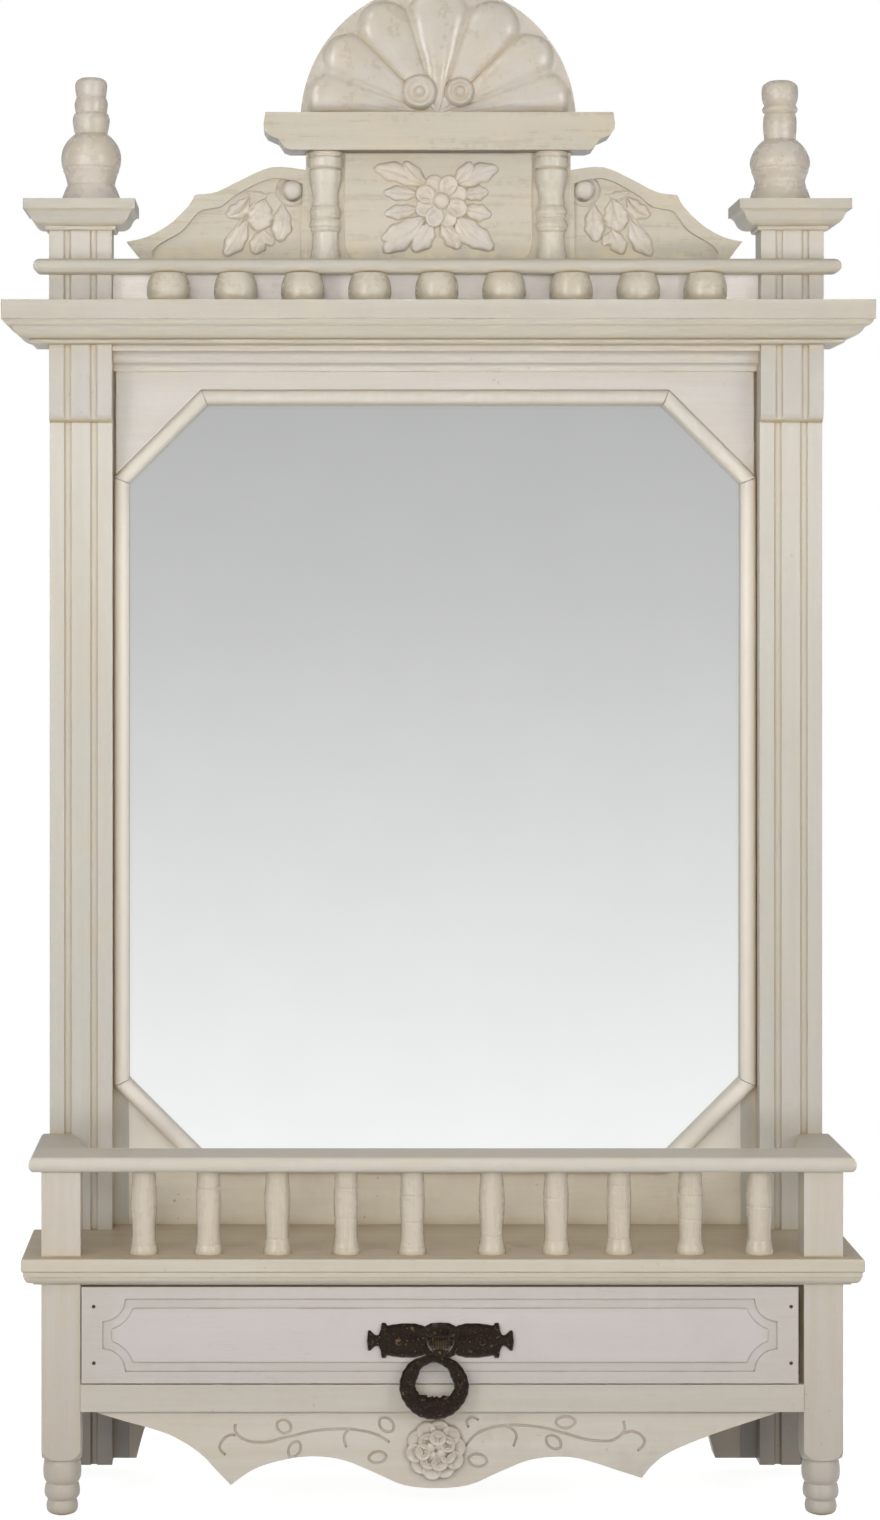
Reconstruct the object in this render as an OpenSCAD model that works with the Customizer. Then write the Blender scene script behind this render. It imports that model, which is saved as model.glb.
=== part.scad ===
// Wall mirror of painted wood in the baroque revival manner: an octagonal glass between moulded stiles,
// a cornice with turned buns, two pinnacles and a carved shell crest above, and a shelf with spindles
// and a drawer below. The wall is the plane Y = 0, the front looks towards -Y, and Z = 0 is the lower
// end of the frame, a little above the tips of the two turned feet: it hangs on a wall and doesn't stand.

/* [Wall frame] */
// Width over the two moulded stiles
frame_w = 556; // [530:1:590]
// Width of one moulded stile
stile_w = 45; // [42:0.5:48]
// Thickness of the flat boards that carry the glass
board_t = 20; // [18:0.5:24]
// Thickness of a moulded stile in front of the boards
stile_t = 20; // [17:0.5:23]
// Width of each of the two round grooves in a stile
groove_w = 5.2; // [4:0.2:6]
// Distance from a stile's edge to the middle of its groove
groove_inset = 13.1; // [12:0.1:14.5]
// Height of the frame's lower end above the tips of the feet
frame_rise = 11; // [6:0.5:16]
// Height of a capital block at the head of a stile
block_h = 55.6; // [48:0.2:64]
// How far a capital block stands in front of its stile
block_proud = 7; // [5:0.5:9]
// Radius of the rounded lower edge of a capital block
block_round = 8; // [4:0.5:9]

/* [Mirror] */
// Visible height of the glass
sight_h = 546; // [500:1:590]
// Length that each clipped corner of the glass takes off a side
corner_cut = 57; // [48:1:66]
// Height of the glass above the shelf
sill_h = 48.5; // [42:0.5:56]
// Height from the top of the glass to the cornice
head_h = 42; // [38:0.5:48]
// Width of the half-round bead around the glass
bead_w = 11; // [9:0.5:13]
// How far the bead stands in front of the boards
bead_h = 8; // [7:0.5:10]
// Thickness of the mirror glass
glass_t = 4; // [3:0.5:5]
// Thickness of the panel behind the glass
back_panel_t = 4; // [3:0.5:5]
// Width of the rebate that holds the glass
rebate_w = 7; // [6:0.5:8]
// Thickness of the lip in front of the glass
rebate_lip = 6; // [5:0.5:7]
// Height of the cove moulding under the cornice
cove_h = 18; // [15:0.5:21]
// How far the cove moulding stands in front of the boards
cove_proud = 22; // [16:0.5:24]
// Thickness of the flat board between bead and cove
strip_t = 4; // [3:0.5:5]
// Gap between an end of that board and the block or stile beside it
strip_gap = 2; // [0.5:0.1:4]

/* [Cornice and pinnacles] */
// Height of the cornice
cornice_h = 29.5; // [27:0.5:33]
// Projection of the cornice beyond the capital blocks
cornice_proud = 32; // [29:0.5:36]
// Number of turned buns on the cornice
bun_count = 9; // [7:1:9]
// Distance from a pinnacle post to the axis of the nearest bun
bun_margin = 41; // [34:0.5:52]
// Height of a bun
bun_h = 20.5; // [16:0.5:22]
// Largest radius of a bun
bun_r = 15.5; // [13:0.5:17]
// Length of the rail on the buns
top_rail_w = 577; // [560:1:600]
// Depth of the rail on the buns
top_rail_d = 15; // [13:0.5:17]
// Thickness of the rail on the buns
top_rail_t = 10.5; // [9:0.5:14]
// Height of a pinnacle post
post_h = 52.4; // [48:0.1:58]
// Depth of a pinnacle post
post_d = 29; // [26:0.5:32]
// Height of a pinnacle cap
cap_h = 21; // [20:0.2:24]
// Projection of a pinnacle cap beyond its post
cap_proud = 17.5; // [15:0.5:18]
// Height of a finial above its cap
finial_h = 92; // [84:1:100]
// Largest radius of a finial
finial_r = 22.2; // [20:0.2:24]
// Distance of the finial's axis from the middle of its cap, towards the centre line
finial_shift = 7; // [0:0.5:10]

/* [Crest] */
// Sideways shift of the hand-set crest from the centre line
crest_shift = 2; // [0:0.5:3]
// Thickness of the crest boards
crest_t = 16; // [14:0.5:18]
// Gap between the crest boards and the wall
crest_gap = 17; // [14:0.5:19]
// Height of the base board of the crest
crest_base_h = 25.5; // [22:0.5:29]
// Height of the carved panel's top above the cornice
crest_h = 110; // [104:1:118]
// Width of the carved panel
panel_w = 191; // [180:1:200]
// Distance of the panel's raised field from the edge of the panel
field_inset = 28; // [28:0.5:34]
// Height of the panel's raised field
field_rise = 1.5; // [1:0.1:2.5]
// Radius of a split column
column_r = 13; // [11:0.5:13.5]
// Distance from the top of the panel to the middle of its flower
flower_drop = 35.5; // [30:0.5:50]
// Distance from a column's axis to the edge of the panel
column_inset = 14; // [13.5:0.5:18]
// Gap between the tip of the right wing and the pinnacle post
wing_gap = 11.5; // [4:0.5:20]
// Gap between the tip of the left wing and the pinnacle post
left_wing_gap = 10; // [4:0.5:20]
// Height of a crest wing above the cornice
wing_h = 99.5; // [92:0.5:103]
// Width of the raised border of a wing
wing_border = 8; // [6:0.5:10]
// Depth of the sunk field of a wing
wing_sink = 3; // [2:0.5:4]
// Length of the plate that carries the shell
plate_w = 252; // [240:1:264]
// Height of the plate
plate_h = 27; // [24:0.5:30]
// Depth of the plate
plate_d = 32; // [31:0.5:38]
// Radius of the shell
shell_r = 99.5; // [90:0.5:104]
// Depth of the shell's centre below the top of the plate
shell_sink = 4.4; // [2:0.2:8]
// Number of lobes of the shell
shell_lobes = 7; // [5:2:9]
// Largest angle by which the carver spread the lobes at the top
lobe_spread = 6.5; // [0:0.5:7]
// Thickness of the shell at its plain margin
shell_t = 14; // [11:0.5:16]
// Height of the lobes above the margin
shell_relief = 10; // [7:0.5:12]

/* [Shelf and gallery] */
// Length of the shelf
shelf_w = 580; // [572:1:592]
// Depth of the shelf in front of the stiles
shelf_d = 110; // [106:1:118]
// Thickness of the shelf
shelf_t = 9.5; // [8.5:0.5:12]
// Thickness of the moulded board under the shelf
under_t = 9.5; // [7:0.5:12]
// Inset of the moulded board's lower edge from the shelf's edge
under_inset = 8; // [6:0.5:8.5]
// Height from the shelf to the underside of the gallery rail
gallery_h = 58.5; // [52:0.5:66]
// Thickness of the gallery rail
gallery_rail_t = 10.5; // [9:0.5:12]
// Depth of the front rail of the gallery
gallery_rail_d = 41; // [38:1:44]
// Inset of the gallery rail from the shelf's edge
gallery_inset = 4; // [3:0.5:5]
// Number of spindles
spindle_count = 10; // [8:1:10]
// Mean distance from a gallery post to the axis of the nearest spindle
spindle_margin = 34.8; // [26:0.1:48]
// Sideways shift of the row of spindles from the centre line
spindle_shift = 5.5; // [0:0.5:6]
// Largest radius of a spindle
spindle_r = 9.6; // [8.6:0.2:11]
// Radius of the round tenons of spindles and finials
tenon_r = 4; // [3:0.25:5]
// Length of the tenons of the spindles
tenon_l = 5; // [3:0.5:6]

/* [Legs and apron] */
// Side of the square legs and gallery posts
leg_w = 27; // [25:0.5:30]
// Height of a leg with its foot
leg_h = 161.5; // [156:0.5:172]
// Height of the turned foot
foot_h = 39; // [34:1:42]
// Largest radius of the turned foot
foot_r = 13.3; // [12:0.1:13.4]
// Distance from a leg's outer face to the end of the shelf
leg_inset = 13.5; // [12:0.5:15]
// Distance from a leg's front face to the front of the shelf
leg_setback = 9; // [8.5:0.5:12]
// Thickness of the side panels
side_t = 12; // [9:0.5:14]
// Height of the rail under the drawer
low_rail_h = 19; // [16:0.5:22]
// Thickness of the rail under the drawer
low_rail_t = 17; // [14:0.5:19]
// Thickness of the apron
apron_t = 12; // [10:0.5:14]
// Mean gap between an end of the apron and the leg
apron_gap = 13; // [8:0.5:24]
// Depth of the apron at its lowest point
apron_drop = 53.4; // [48:0.2:60]
// Sideways shift of the apron from the centre line
apron_shift = -4; // [-6:0.5:6]
// Distance from the foot of the arch in the lower back board to the end of the board
arch_margin = 12; // [6:0.5:22]
// Sideways shift of that arch from the centre line
arch_shift = -6.5; // [-8:0.5:8]
// Height of the arch in the lower back board
arch_h = 65; // [58:1:72]

/* [Drawer] */
// Height of the drawer front
drawer_h = 66.5; // [62:0.5:70]
// Thickness of the drawer front
drawer_front_t = 14; // [12:0.5:18]
// How far the drawer front stands in front of the legs
drawer_proud = 2; // [0:0.5:4]
// Gap between the drawer front and the left leg
gap_left = 0.8; // [0.5:0.1:1.5]
// Gap between the drawer front and the right leg
gap_right = 4.2; // [0.5:0.1:4.5]
// Gap between the rail and the drawer front
gap_below = 0.9; // [0.3:0.1:1.5]
// Gap between the drawer front and the board above it
drawer_gap_top = 1.5; // [1:0.5:4]
// Thickness of the drawer sides and back
drawer_side_t = 9; // [7:0.5:11]
// Height of the drawer sides
drawer_side_h = 56; // [50:0.5:60]
// Thickness of the drawer bottom
drawer_bottom_t = 4; // [3:0.5:5]
// Depth of the groove that holds the drawer bottom
drawer_groove = 4; // [3:0.5:5]
// Gap between the drawer and the stiles behind it
drawer_back_gap = 4; // [3:0.5:8]
// Width of the routed line on the drawer front
rout_w = 6.5; // [4.5:0.5:8]
// Distance of the routed line from the ends of the drawer front
rout_end = 14.5; // [12:0.5:18]
// Distance of the routed line from the upper and lower edge of the drawer front
rout_edge = 8.2; // [6:0.2:11]
// Depth of the routed line
rout_d = 1.2; // [0.8:0.1:1.6]
// Radius of the hollow corners of the routed line
rout_corner = 15.5; // [11:0.5:17]
// Radius of the panel pins in the drawer front
nail_r = 1.2; // [0.9:0.1:1.6]
// Length of the panel pins
nail_l = 30; // [24:1:36]

/* [Handle] */
// Length of the handle's back plate
handle_w = 101; // [90:1:110]
// Height of the handle's back plate
handle_h = 24; // [21:0.5:27]
// Thickness of the back plate
handle_t = 3; // [2:0.5:4]
// Sideways shift of the handle from the centre line
handle_shift = -1.5; // [-6:0.5:6]
// Height of the handle's axis above the lower edge of the drawer front
handle_rise = 29.65; // [27:0.05:33]
// Distance between the two handle screws
handle_screw_gap = 58; // [50:1:64]
// Middle radius of the bail ring
bail_ring_r = 18.8; // [16:0.2:20]
// Radius of the bail's round section
bail_r = 5.2; // [4.4:0.1:5.8]
// Sideways shift of the bail ring from its pivot
bail_shift = -4.5; // [-6:0.5:0]
// Radius of the bail's pivot pin
pivot_r = 2; // [1.6:0.1:2.4]
// Running clearance around the pivot pin
pivot_clear = 0.08; // [0.05:0.01:0.1]

/* [Hangers] */
// Width of a hanger plate
hanger_w = 18; // [16:0.5:22]
// Height of a hanger plate
hanger_h = 44; // [40:1:50]
// Thickness of a hanger plate
hanger_t = 2; // [1.5:0.5:3]
// Radius of the hanging hole
hanger_hole_r = 4; // [3.5:0.25:4.5]
// Distance from a hanger plate to the top of the frame
hanger_drop = 30; // [20:1:60]

/* [Hidden] */

$fn = 48;

// Running clearance of sliding wood, and clearance around tenons and nails
slide_gap = 0.3;
fit_gap = 0.1;

// Room around the glass in its rebate, and how far a cutting shape passes the surface it cuts
rebate_gap = 1;
cut_over = 1;

// Levels from the feet up
foot_tip = -frame_rise;
under_z = foot_tip + leg_h;
low_rail_z = under_z - drawer_gap_top - drawer_h - gap_below - low_rail_h;
drawer_z = low_rail_z + low_rail_h + gap_below;
shelf_z = under_z + under_t;
shelf_top = shelf_z + shelf_t;
gallery_z = shelf_top + gallery_h;
sight_z = shelf_top + sill_h;
sight_top = sight_z + sight_h;
frame_top = sight_top + head_h;
cornice_top = frame_top + cornice_h;
top_rail_z = cornice_top + bun_h;
post_top = cornice_top + post_h;
cap_top = post_top + cap_h;
crest_base_top = cornice_top + crest_base_h;
panel_top = cornice_top + crest_h;
plate_top = panel_top + plate_h;

// Distances from the wall, all measured forwards
stile_front = board_t + stile_t;
block_front = stile_front + block_proud;
post_back = block_front - post_d;
crest_front = crest_gap + crest_t;
shelf_front = stile_front + shelf_d;
leg_front = shelf_front - leg_setback;
leg_back = leg_front - leg_w;
drawer_face = leg_front + drawer_proud;
gallery_front = shelf_front - gallery_inset;

// Widths
sight_w = frame_w - 2 * (stile_w + bead_w);
stile_x = frame_w / 2 - stile_w / 2;
stile_inner_x = frame_w / 2 - stile_w;
leg_x = shelf_w / 2 - leg_inset - leg_w / 2;
leg_inner_x = leg_x - leg_w / 2;
column_x = panel_w / 2 - column_inset;
bun_pitch = (2 * stile_inner_x - 2 * bun_margin) / (bun_count - 1);
spindle_pitch = (2 * leg_inner_x - 2 * spindle_margin) / (spindle_count - 1);
right_wing_l = stile_inner_x - panel_w / 2 - crest_shift - wing_gap;
left_wing_l = stile_inner_x - panel_w / 2 + crest_shift - left_wing_gap;
apron_w = 2 * (leg_inner_x - apron_gap);
arch_w = sight_w / 2 - arch_margin;

cream = "antiquewhite";
pale = "oldlace";
bronze = "darkslategray";
steel = "silver";

// Points of a circular arc in the plane, from angle a0 to angle a1
function arc(cx, cy, r, a0, a1, steps = 8) =
    [for (i = [0:steps]) let (a = a0 + (a1 - a0) * i / steps) [cx + r * cos(a), cy + r * sin(a)]];

// One point of a smooth curve through b and c
function spline_point(a, b, c, d, t) =
    0.5 * (2 * b + (c - a) * t + (2 * a - 5 * b + 4 * c - d) * t * t
        + (3 * b - a - 3 * c + d) * t * t * t);

// Smooth curve through the points p
function smooth(p, steps = 4) = concat(
    [for (i = [0:len(p) - 2]) for (k = [0:steps - 1])
        spline_point(p[max(i - 1, 0)], p[i], p[i + 1], p[min(i + 2, len(p) - 1)], k / steps)],
    [p[len(p) - 1]]);

function reversed(p) = [for (i = [len(p) - 1:-1:0]) p[i]];
function mirrored(p) = [for (q = reversed(p)) [-q[0], q[1]]];
function scaled(p, sx, sy) = [for (q = p) [q[0] * sx, q[1] * sy]];
function moved(p, dx, dy) = [for (q = p) [q[0] + dx, q[1] + dy]];

// Octagon around the glass, grown outwards by the distance e
function octagon(e) = let (
        w = sight_w / 2 + e,
        z0 = sight_z - e,
        z1 = sight_top + e,
        c = corner_cut + e * (2 - sqrt(2)))
    [[c - w, z0], [w - c, z0], [w, z0 + c], [w, z1 - c],
        [w - c, z1], [c - w, z1], [-w, z1 - c], [-w, z0 + c]];

// A plan or elevation drawn in X and Z, given a thickness towards the front
module plate(back, t) {
    translate([0, -back, 0]) rotate([90, 0, 0]) linear_extrude(t) children();
}

// A plan drawn in X and in distance from the wall, raised to a height
module raised(z, h) {
    translate([0, 0, z]) mirror([0, 1, 0]) linear_extrude(h) children();
}

// A section drawn in distance from the wall and in Z, run along X
module run_x(length) {
    mirror([0, 1, 0]) rotate([90, 0, 90]) linear_extrude(length, center = true) children();
}

// A board whose ends and front follow one section: edge lists the inset from the full size at each level
module moulded_board(w, front, back, edge) {
    intersection() {
        run_x(w + 2 * cut_over) polygon(concat(
            [for (q = edge) [front - q[0], q[1]]],
            [[back, edge[len(edge) - 1][1]], [back, edge[0][1]]]));
        plate(back - cut_over, front - back + 2 * cut_over) polygon(concat(
            [for (q = edge) [w / 2 - q[0], q[1]]],
            mirrored([for (q = edge) [w / 2 - q[0], q[1]]])));
    }
}

// A turned piece: profile lists radius and height from the bottom to the top
module turned(profile) {
    rotate_extrude() polygon(concat(
        [[0, profile[0][1]]], profile, [[0, profile[len(profile) - 1][1]]]));
}

module at(x, forward, z) {
    translate([x, -forward, z]) children();
}

module both_sides() {
    for (side = [-1, 1]) scale([side, 1, 1]) children();
}

// A round piece or hole whose axis runs towards the wall, drawn from its front end
module pin_y(x, front, z, r, l) {
    at(x, front, z) rotate([-90, 0, 0]) cylinder(r = r, h = l);
}

// Rebate for the glass, cut into the boards from the back
module glass_rebate() {
    plate(-cut_over, board_t - rebate_lip + cut_over) polygon(octagon(rebate_w));
}

module upright_board(x0, x1, z0, z1) {
    plate(0, board_t) translate([x0, z0]) square([x1 - x0, z1 - z0]);
}

hanger_inset = 10;
hanger_x = frame_w / 2 - hanger_w - hanger_inset;
hanger_z = frame_top - hanger_drop - hanger_h;
hanger_hole_z = hanger_h * 0.5;
hanger_screw_inset = 8;
hanger_screw_r = 1.7;
hanger_screw_l = 14;
hanger_head_r = 3.2;
hanger_head_t = 1;
hanger_pocket_d = 8;

// Recess, pocket and screw holes behind one hanger plate
module hanger_seat() {
    plate(-cut_over, hanger_t + cut_over) translate([hanger_x, hanger_z]) square([hanger_w, hanger_h]);
    pin_y(hanger_x + hanger_w / 2, hanger_t + hanger_pocket_d, hanger_z + hanger_hole_z,
        hanger_hole_r + 2, hanger_pocket_d + cut_over);
    for (z = [hanger_screw_inset, hanger_h - hanger_screw_inset])
        pin_y(hanger_x + hanger_w / 2, hanger_screw_l + 1, hanger_z + z,
            hanger_screw_r + fit_gap, hanger_screw_l);
}

module right_side() {
    difference() {
        upright_board(sight_w / 2, frame_w / 2, 0, frame_top);
        glass_rebate();
        hanger_seat();
    }
}

module left_side_board() {
    color(cream) scale([-1, 1, 1]) right_side();
}

module right_side_board() {
    color(cream) right_side();
}

module head_board() {
    color(cream) difference() {
        upright_board(-sight_w / 2, sight_w / 2, sight_top, frame_top);
        glass_rebate();
    }
}

// Left half of the arch in the lower back board, from its foot to the crown
arch_curve = smooth([
    [-arch_w, 0], [arch_h * 0.1 - arch_w, arch_h * 0.36], [arch_h * 0.25 - arch_w, arch_h * 0.7],
    [arch_h * 0.55 - arch_w, arch_h * 0.94], [arch_h - arch_w, arch_h]]);

module foot_board() {
    color(cream) difference() {
        plate(0, board_t) polygon(concat(
            [[-sight_w / 2, sight_z], [-sight_w / 2, 0]],
            moved(concat(arch_curve, mirrored(arch_curve)), arch_shift, 0),
            [[sight_w / 2, 0], [sight_w / 2, sight_z]]));
        glass_rebate();
    }
}

module corner_spandrels() {
    color(cream) difference() {
        both_sides() for (corner = [[sight_z, 1], [sight_top, -1]])
            plate(0, board_t) polygon([
                [-sight_w / 2, corner[0]],
                [corner_cut - sight_w / 2, corner[0]],
                [-sight_w / 2, corner[0] + corner[1] * corner_cut]]);
        glass_rebate();
    }
}

// Eight lengths of half-round bead, mitred where they meet with a hairline joint
mitre_gap = 0.2;

module opening_bead() {
    sight = octagon(0);
    inner = octagon(-cut_over);
    outer = octagon(bead_w + cut_over);
    color(cream) for (i = [0:7]) {
        k = (i + 1) % 8;
        run = norm(sight[k] - sight[i]);
        along = (sight[k] - sight[i]) / run;
        turn = atan2(along[1], along[0]);
        trim = along * mitre_gap;
        intersection() {
            plate(board_t - cut_over, bead_h + 2 * cut_over)
                polygon([inner[i] + trim, inner[k] - trim, outer[k] - trim, outer[i] + trim]);
            at(sight[i][0], board_t, sight[i][1]) rotate([0, -turn, 0]) translate([run / 2, 0, 0])
                run_x(run + 4 * bead_w) translate([0, -bead_w]) bead_section();
        }
    }
}

// Half-round section of the bead: forward distance first, then height
module bead_section() {
    r = bead_w / 2;
    intersection() {
        square([bead_h, bead_w]);
        union() {
            square([bead_h - r, bead_w]);
            translate([bead_h - r, r]) circle(r = r);
        }
    }
}

module mirror_glass() {
    color("lightsteelblue") plate(board_t - rebate_lip - glass_t, glass_t)
        polygon(octagon(rebate_w - rebate_gap));
}

module mirror_back_panel() {
    color("tan") plate(board_t - rebate_lip - glass_t - back_panel_t, back_panel_t)
        polygon(octagon(rebate_w - rebate_gap));
}

// Small glue blocks that hold the back panel in its rebate
module back_panel_blocks() {
    block_t = board_t - rebate_lip - glass_t - back_panel_t - 1;
    block_l = 24;
    block_w = 6;
    edge_x = sight_w / 2 + rebate_w;
    low = sight_z - rebate_w;
    high = sight_top + rebate_w;
    color("burlywood") for (f = [0.25, 0.5, 0.75]) {
        both_sides() plate(1, block_t)
            translate([edge_x - block_w, sight_z + f * sight_h - block_l / 2]) square([block_w, block_l]);
        for (z = [low, high - block_w]) plate(1, block_t)
            translate([(f - 0.5) * sight_w - block_l / 2, z]) square([block_l, block_w]);
    }
}

// Plan of a moulded upright with two round grooves in its face
module grooved_plan(w, t) {
    difference() {
        translate([-w / 2, 0]) square([w, t]);
        for (side = [-1, 1]) translate([side * (w / 2 - groove_inset), t]) circle(d = groove_w);
    }
}

module one_stile() {
    at(stile_x, board_t, 0) raised(0, frame_top - block_h) grooved_plan(stile_w, stile_t);
}

module left_stile() {
    color(cream) scale([-1, 1, 1]) one_stile();
}

module right_stile() {
    color(cream) one_stile();
}

module capital_blocks() {
    z0 = frame_top - block_h;
    color(cream) both_sides() at(stile_x, 0, 0) intersection() {
        at(0, board_t, 0) raised(z0, block_h) grooved_plan(stile_w, stile_t + block_proud);
        run_x(stile_w + 2 * cut_over) polygon(concat(
            [[board_t, z0]],
            arc(block_front - block_round, z0 + block_round, block_round, -90, 0),
            [[block_front, frame_top], [board_t, frame_top]]));
    }
}

// Flat board over the bead, with two points that run down beside its clipped corners
module frieze_strip() {
    w = stile_inner_x - strip_gap;
    around = octagon(bead_w);
    point = [w, around[3][1] + strip_gap];
    color(cream) plate(board_t, strip_t) polygon([
        point, [w, frame_top - cove_h], [-w, frame_top - cove_h], [-point[0], point[1]],
        around[5], around[4]]);
}

// Hollow of a moulding that starts upright and ends level: w wide, h high
function hollow(x, z, w, h) = [for (a = [0:15:90]) [x + w * (1 - cos(a)), z + h * sin(a)]];

module cove_moulding() {
    z0 = frame_top - cove_h;
    lip = 1.5;
    foot = board_t + strip_t + lip;
    run = cove_proud - strip_t - lip;
    color(cream) run_x(2 * stile_inner_x) polygon(concat(
        [[board_t, z0], [foot, z0]],
        hollow(foot, z0 + cove_h * 0.1, run * 0.32, cove_h * 0.22),
        hollow(foot + run * 0.4, z0 + cove_h * 0.42, run * 0.5, cove_h * 0.34),
        [[board_t + cove_proud, z0 + cove_h * 0.76], [board_t + cove_proud, frame_top],
            [board_t, frame_top]]));
}

// Cornice section above the blocks: inset from the full projection, and height
cornice_edge = let (
        p = cornice_proud,
        bead = 1.6,
        ovolo = 13,
        step_z = 11.8,
        roll_z = 16)
    concat(
        [[p - 10, 0]],
        arc(p - 11.5, bead, bead, -90, -270, 6),
        [for (a = [-90:10:-20]) [p - 13.5 - ovolo * cos(a), 2 * bead + ovolo * (1 + sin(a))]],
        [[4, step_z]],
        [[1.8, step_z + 2], [1.2, roll_z], [0, roll_z], [0, cornice_h]]);

// The moulding by itself: distance outwards from its back, and height, with the back moved to start
function cornice_section(start) = concat(
    [for (q = cornice_edge) [start + cornice_proud - q[0], frame_top + q[1]]],
    [[start, cornice_top], [start, frame_top]]);

module cornice_core() {
    color(cream) raised(frame_top, cornice_h)
        translate([-frame_w / 2, 0]) square([frame_w, block_front]);
}

// Ends of the mitre between front and return, a little outside and a little inside the moulding
mitre_out = [frame_w / 2 + cornice_proud + cut_over, block_front + cornice_proud + cut_over];
mitre_in = [frame_w / 2 - cut_over, block_front - cut_over];

module cornice_front() {
    color(cream) intersection() {
        run_x(2 * mitre_out[0] + 2 * cut_over) polygon(cornice_section(block_front));
        raised(frame_top - cut_over, cornice_h + 2 * cut_over)
            polygon([[-mitre_in[0], mitre_in[1]], [-mitre_out[0], mitre_out[1]], mitre_out, mitre_in]);
    }
}

module cornice_returns() {
    color(cream) both_sides() intersection() {
        plate(0, mitre_out[1] + cut_over) polygon(cornice_section(frame_w / 2));
        raised(frame_top - cut_over, cornice_h + 2 * cut_over) polygon([
            [mitre_in[0], -cut_over], [mitre_out[0], -cut_over], mitre_out, mitre_in]);
    }
}

bun_forward = block_front + top_rail_d / 2;

module cornice_buns() {
    color(pale) for (i = [0:bun_count - 1])
        at((i - (bun_count - 1) / 2) * bun_pitch, bun_forward, cornice_top)
            turned(smooth([[bun_r - 2, 0], [bun_r - 0.6, bun_h * 0.14], [bun_r, bun_h * 0.38],
                [bun_r - 0.8, bun_h * 0.7], [bun_r - 3.5, bun_h]]));
}

module top_rail() {
    nose = top_rail_t / 2;
    edge = concat(
        [for (a = [-90:15:90]) [nose - nose * cos(a), top_rail_z + nose + nose * sin(a)]]);
    color(cream) moulded_board(top_rail_w, block_front + top_rail_d, block_front, edge);
}

module pinnacle_posts() {
    color(cream) both_sides() at(stile_x, post_back, 0)
        raised(cornice_top, post_h) grooved_plan(stile_w, post_d);
}

// Moulded section of a pinnacle cap: inset from its full size, and height
cap_edge = let (
        p = cap_proud,
        band = 7.4,
        roll = 2)
    concat(
        [[p - 2, 0], [p - 3, 1], [p - 3, 2.8]],
        [for (a = [-90:15:-15]) [p - 4.5 - 8.4 * cos(a), 2.8 + 8 * (1 + sin(a))]],
        [[3.4, cap_h - band - roll], [2.2, cap_h - band - 0.8], [1.2, cap_h - band], [0, cap_h - band]],
        [[0, cap_h]]);

finial_tenon_l = 10;

// Outline of a section that is the same on both sides of a width w
function across(section, w) = let (half = [for (q = section) [w / 2 - q[0], q[1]]])
    concat(half, mirrored(half));

module pinnacle_caps() {
    w = stile_w + 2 * cap_proud;
    d = post_d + 2 * cap_proud;
    section = [for (q = cap_edge) [q[0], post_top + q[1]]];
    color(cream) both_sides() at(stile_x, post_back + post_d / 2, 0) difference() {
        intersection() {
            plate(-d, 2 * d) polygon(across(section, w));
            run_x(w + 2 * cut_over) polygon(across(section, d));
        }
        translate([-finial_shift, 0, cap_top - finial_tenon_l - 1])
            cylinder(r = tenon_r + fit_gap, h = finial_tenon_l + 1 + cut_over);
    }
}

// Turnings of the two finials, which differ a little: share of the largest radius, share of the height
left_finial_curve = concat(
    smooth([[1, 0], [1, 0.045], [0.91, 0.09], [0.815, 0.145], [0.775, 0.185]]),
    smooth([[0.8, 0.2], [0.93, 0.28], [0.964, 0.385], [0.88, 0.47], [0.7, 0.535], [0.54, 0.57]]),
    smooth([[0.52, 0.585], [0.56, 0.62], [0.6, 0.69], [0.56, 0.735], [0.51, 0.755]]),
    smooth([[0.49, 0.765], [0.535, 0.8], [0.49, 0.835]], 3),
    smooth([[0.475, 0.86], [0.52, 0.905], [0.5, 0.95], [0.43, 0.99], [0.4, 1]], 3));

right_finial_curve = concat(
    smooth([[0.98, 0], [0.96, 0.043], [0.9, 0.09], [0.805, 0.127], [0.775, 0.165]]),
    smooth([[0.81, 0.185], [0.925, 0.24], [0.957, 0.32], [0.93, 0.39], [0.82, 0.45], [0.61, 0.507]]),
    smooth([[0.53, 0.525], [0.535, 0.62], [0.505, 0.68], [0.487, 0.711]]),
    smooth([[0.55, 0.727], [0.568, 0.762], [0.515, 0.79]], 3),
    smooth([[0.53, 0.81], [0.58, 0.866], [0.59, 0.913], [0.54, 0.946], [0.43, 0.964]], 3));

module finials() {
    color(pale) for (side = [-1, 1]) at(side * (stile_x - finial_shift), post_back + post_d / 2, cap_top) {
        turned(scaled(side < 0 ? left_finial_curve : right_finial_curve, finial_r, finial_h));
        translate([0, 0, -finial_tenon_l]) cylinder(r = tenon_r, h = finial_tenon_l);
    }
}

module crest_base_board() {
    color(cream) plate(crest_gap, crest_t) translate([-stile_inner_x, cornice_top])
        square([2 * stile_inner_x, crest_base_h]);
}

// Centre panel with a raised field between the columns, its lower corners rounded
module crest_panel() {
    w = panel_w / 2 - field_inset;
    corner = 14;
    low = crest_base_top + 5;
    field = concat([[w, panel_top - cut_over]], reversed(arc(w - corner, low + corner, corner, -90, 0)));
    color(cream) translate([crest_shift, 0, 0]) union() {
        plate(crest_gap, crest_t) translate([-panel_w / 2, crest_base_top])
            square([panel_w, panel_top - crest_base_top]);
        plate(crest_gap + cut_over, crest_t - cut_over + field_rise) polygon(concat(field, mirrored(field)));
    }
}

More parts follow.
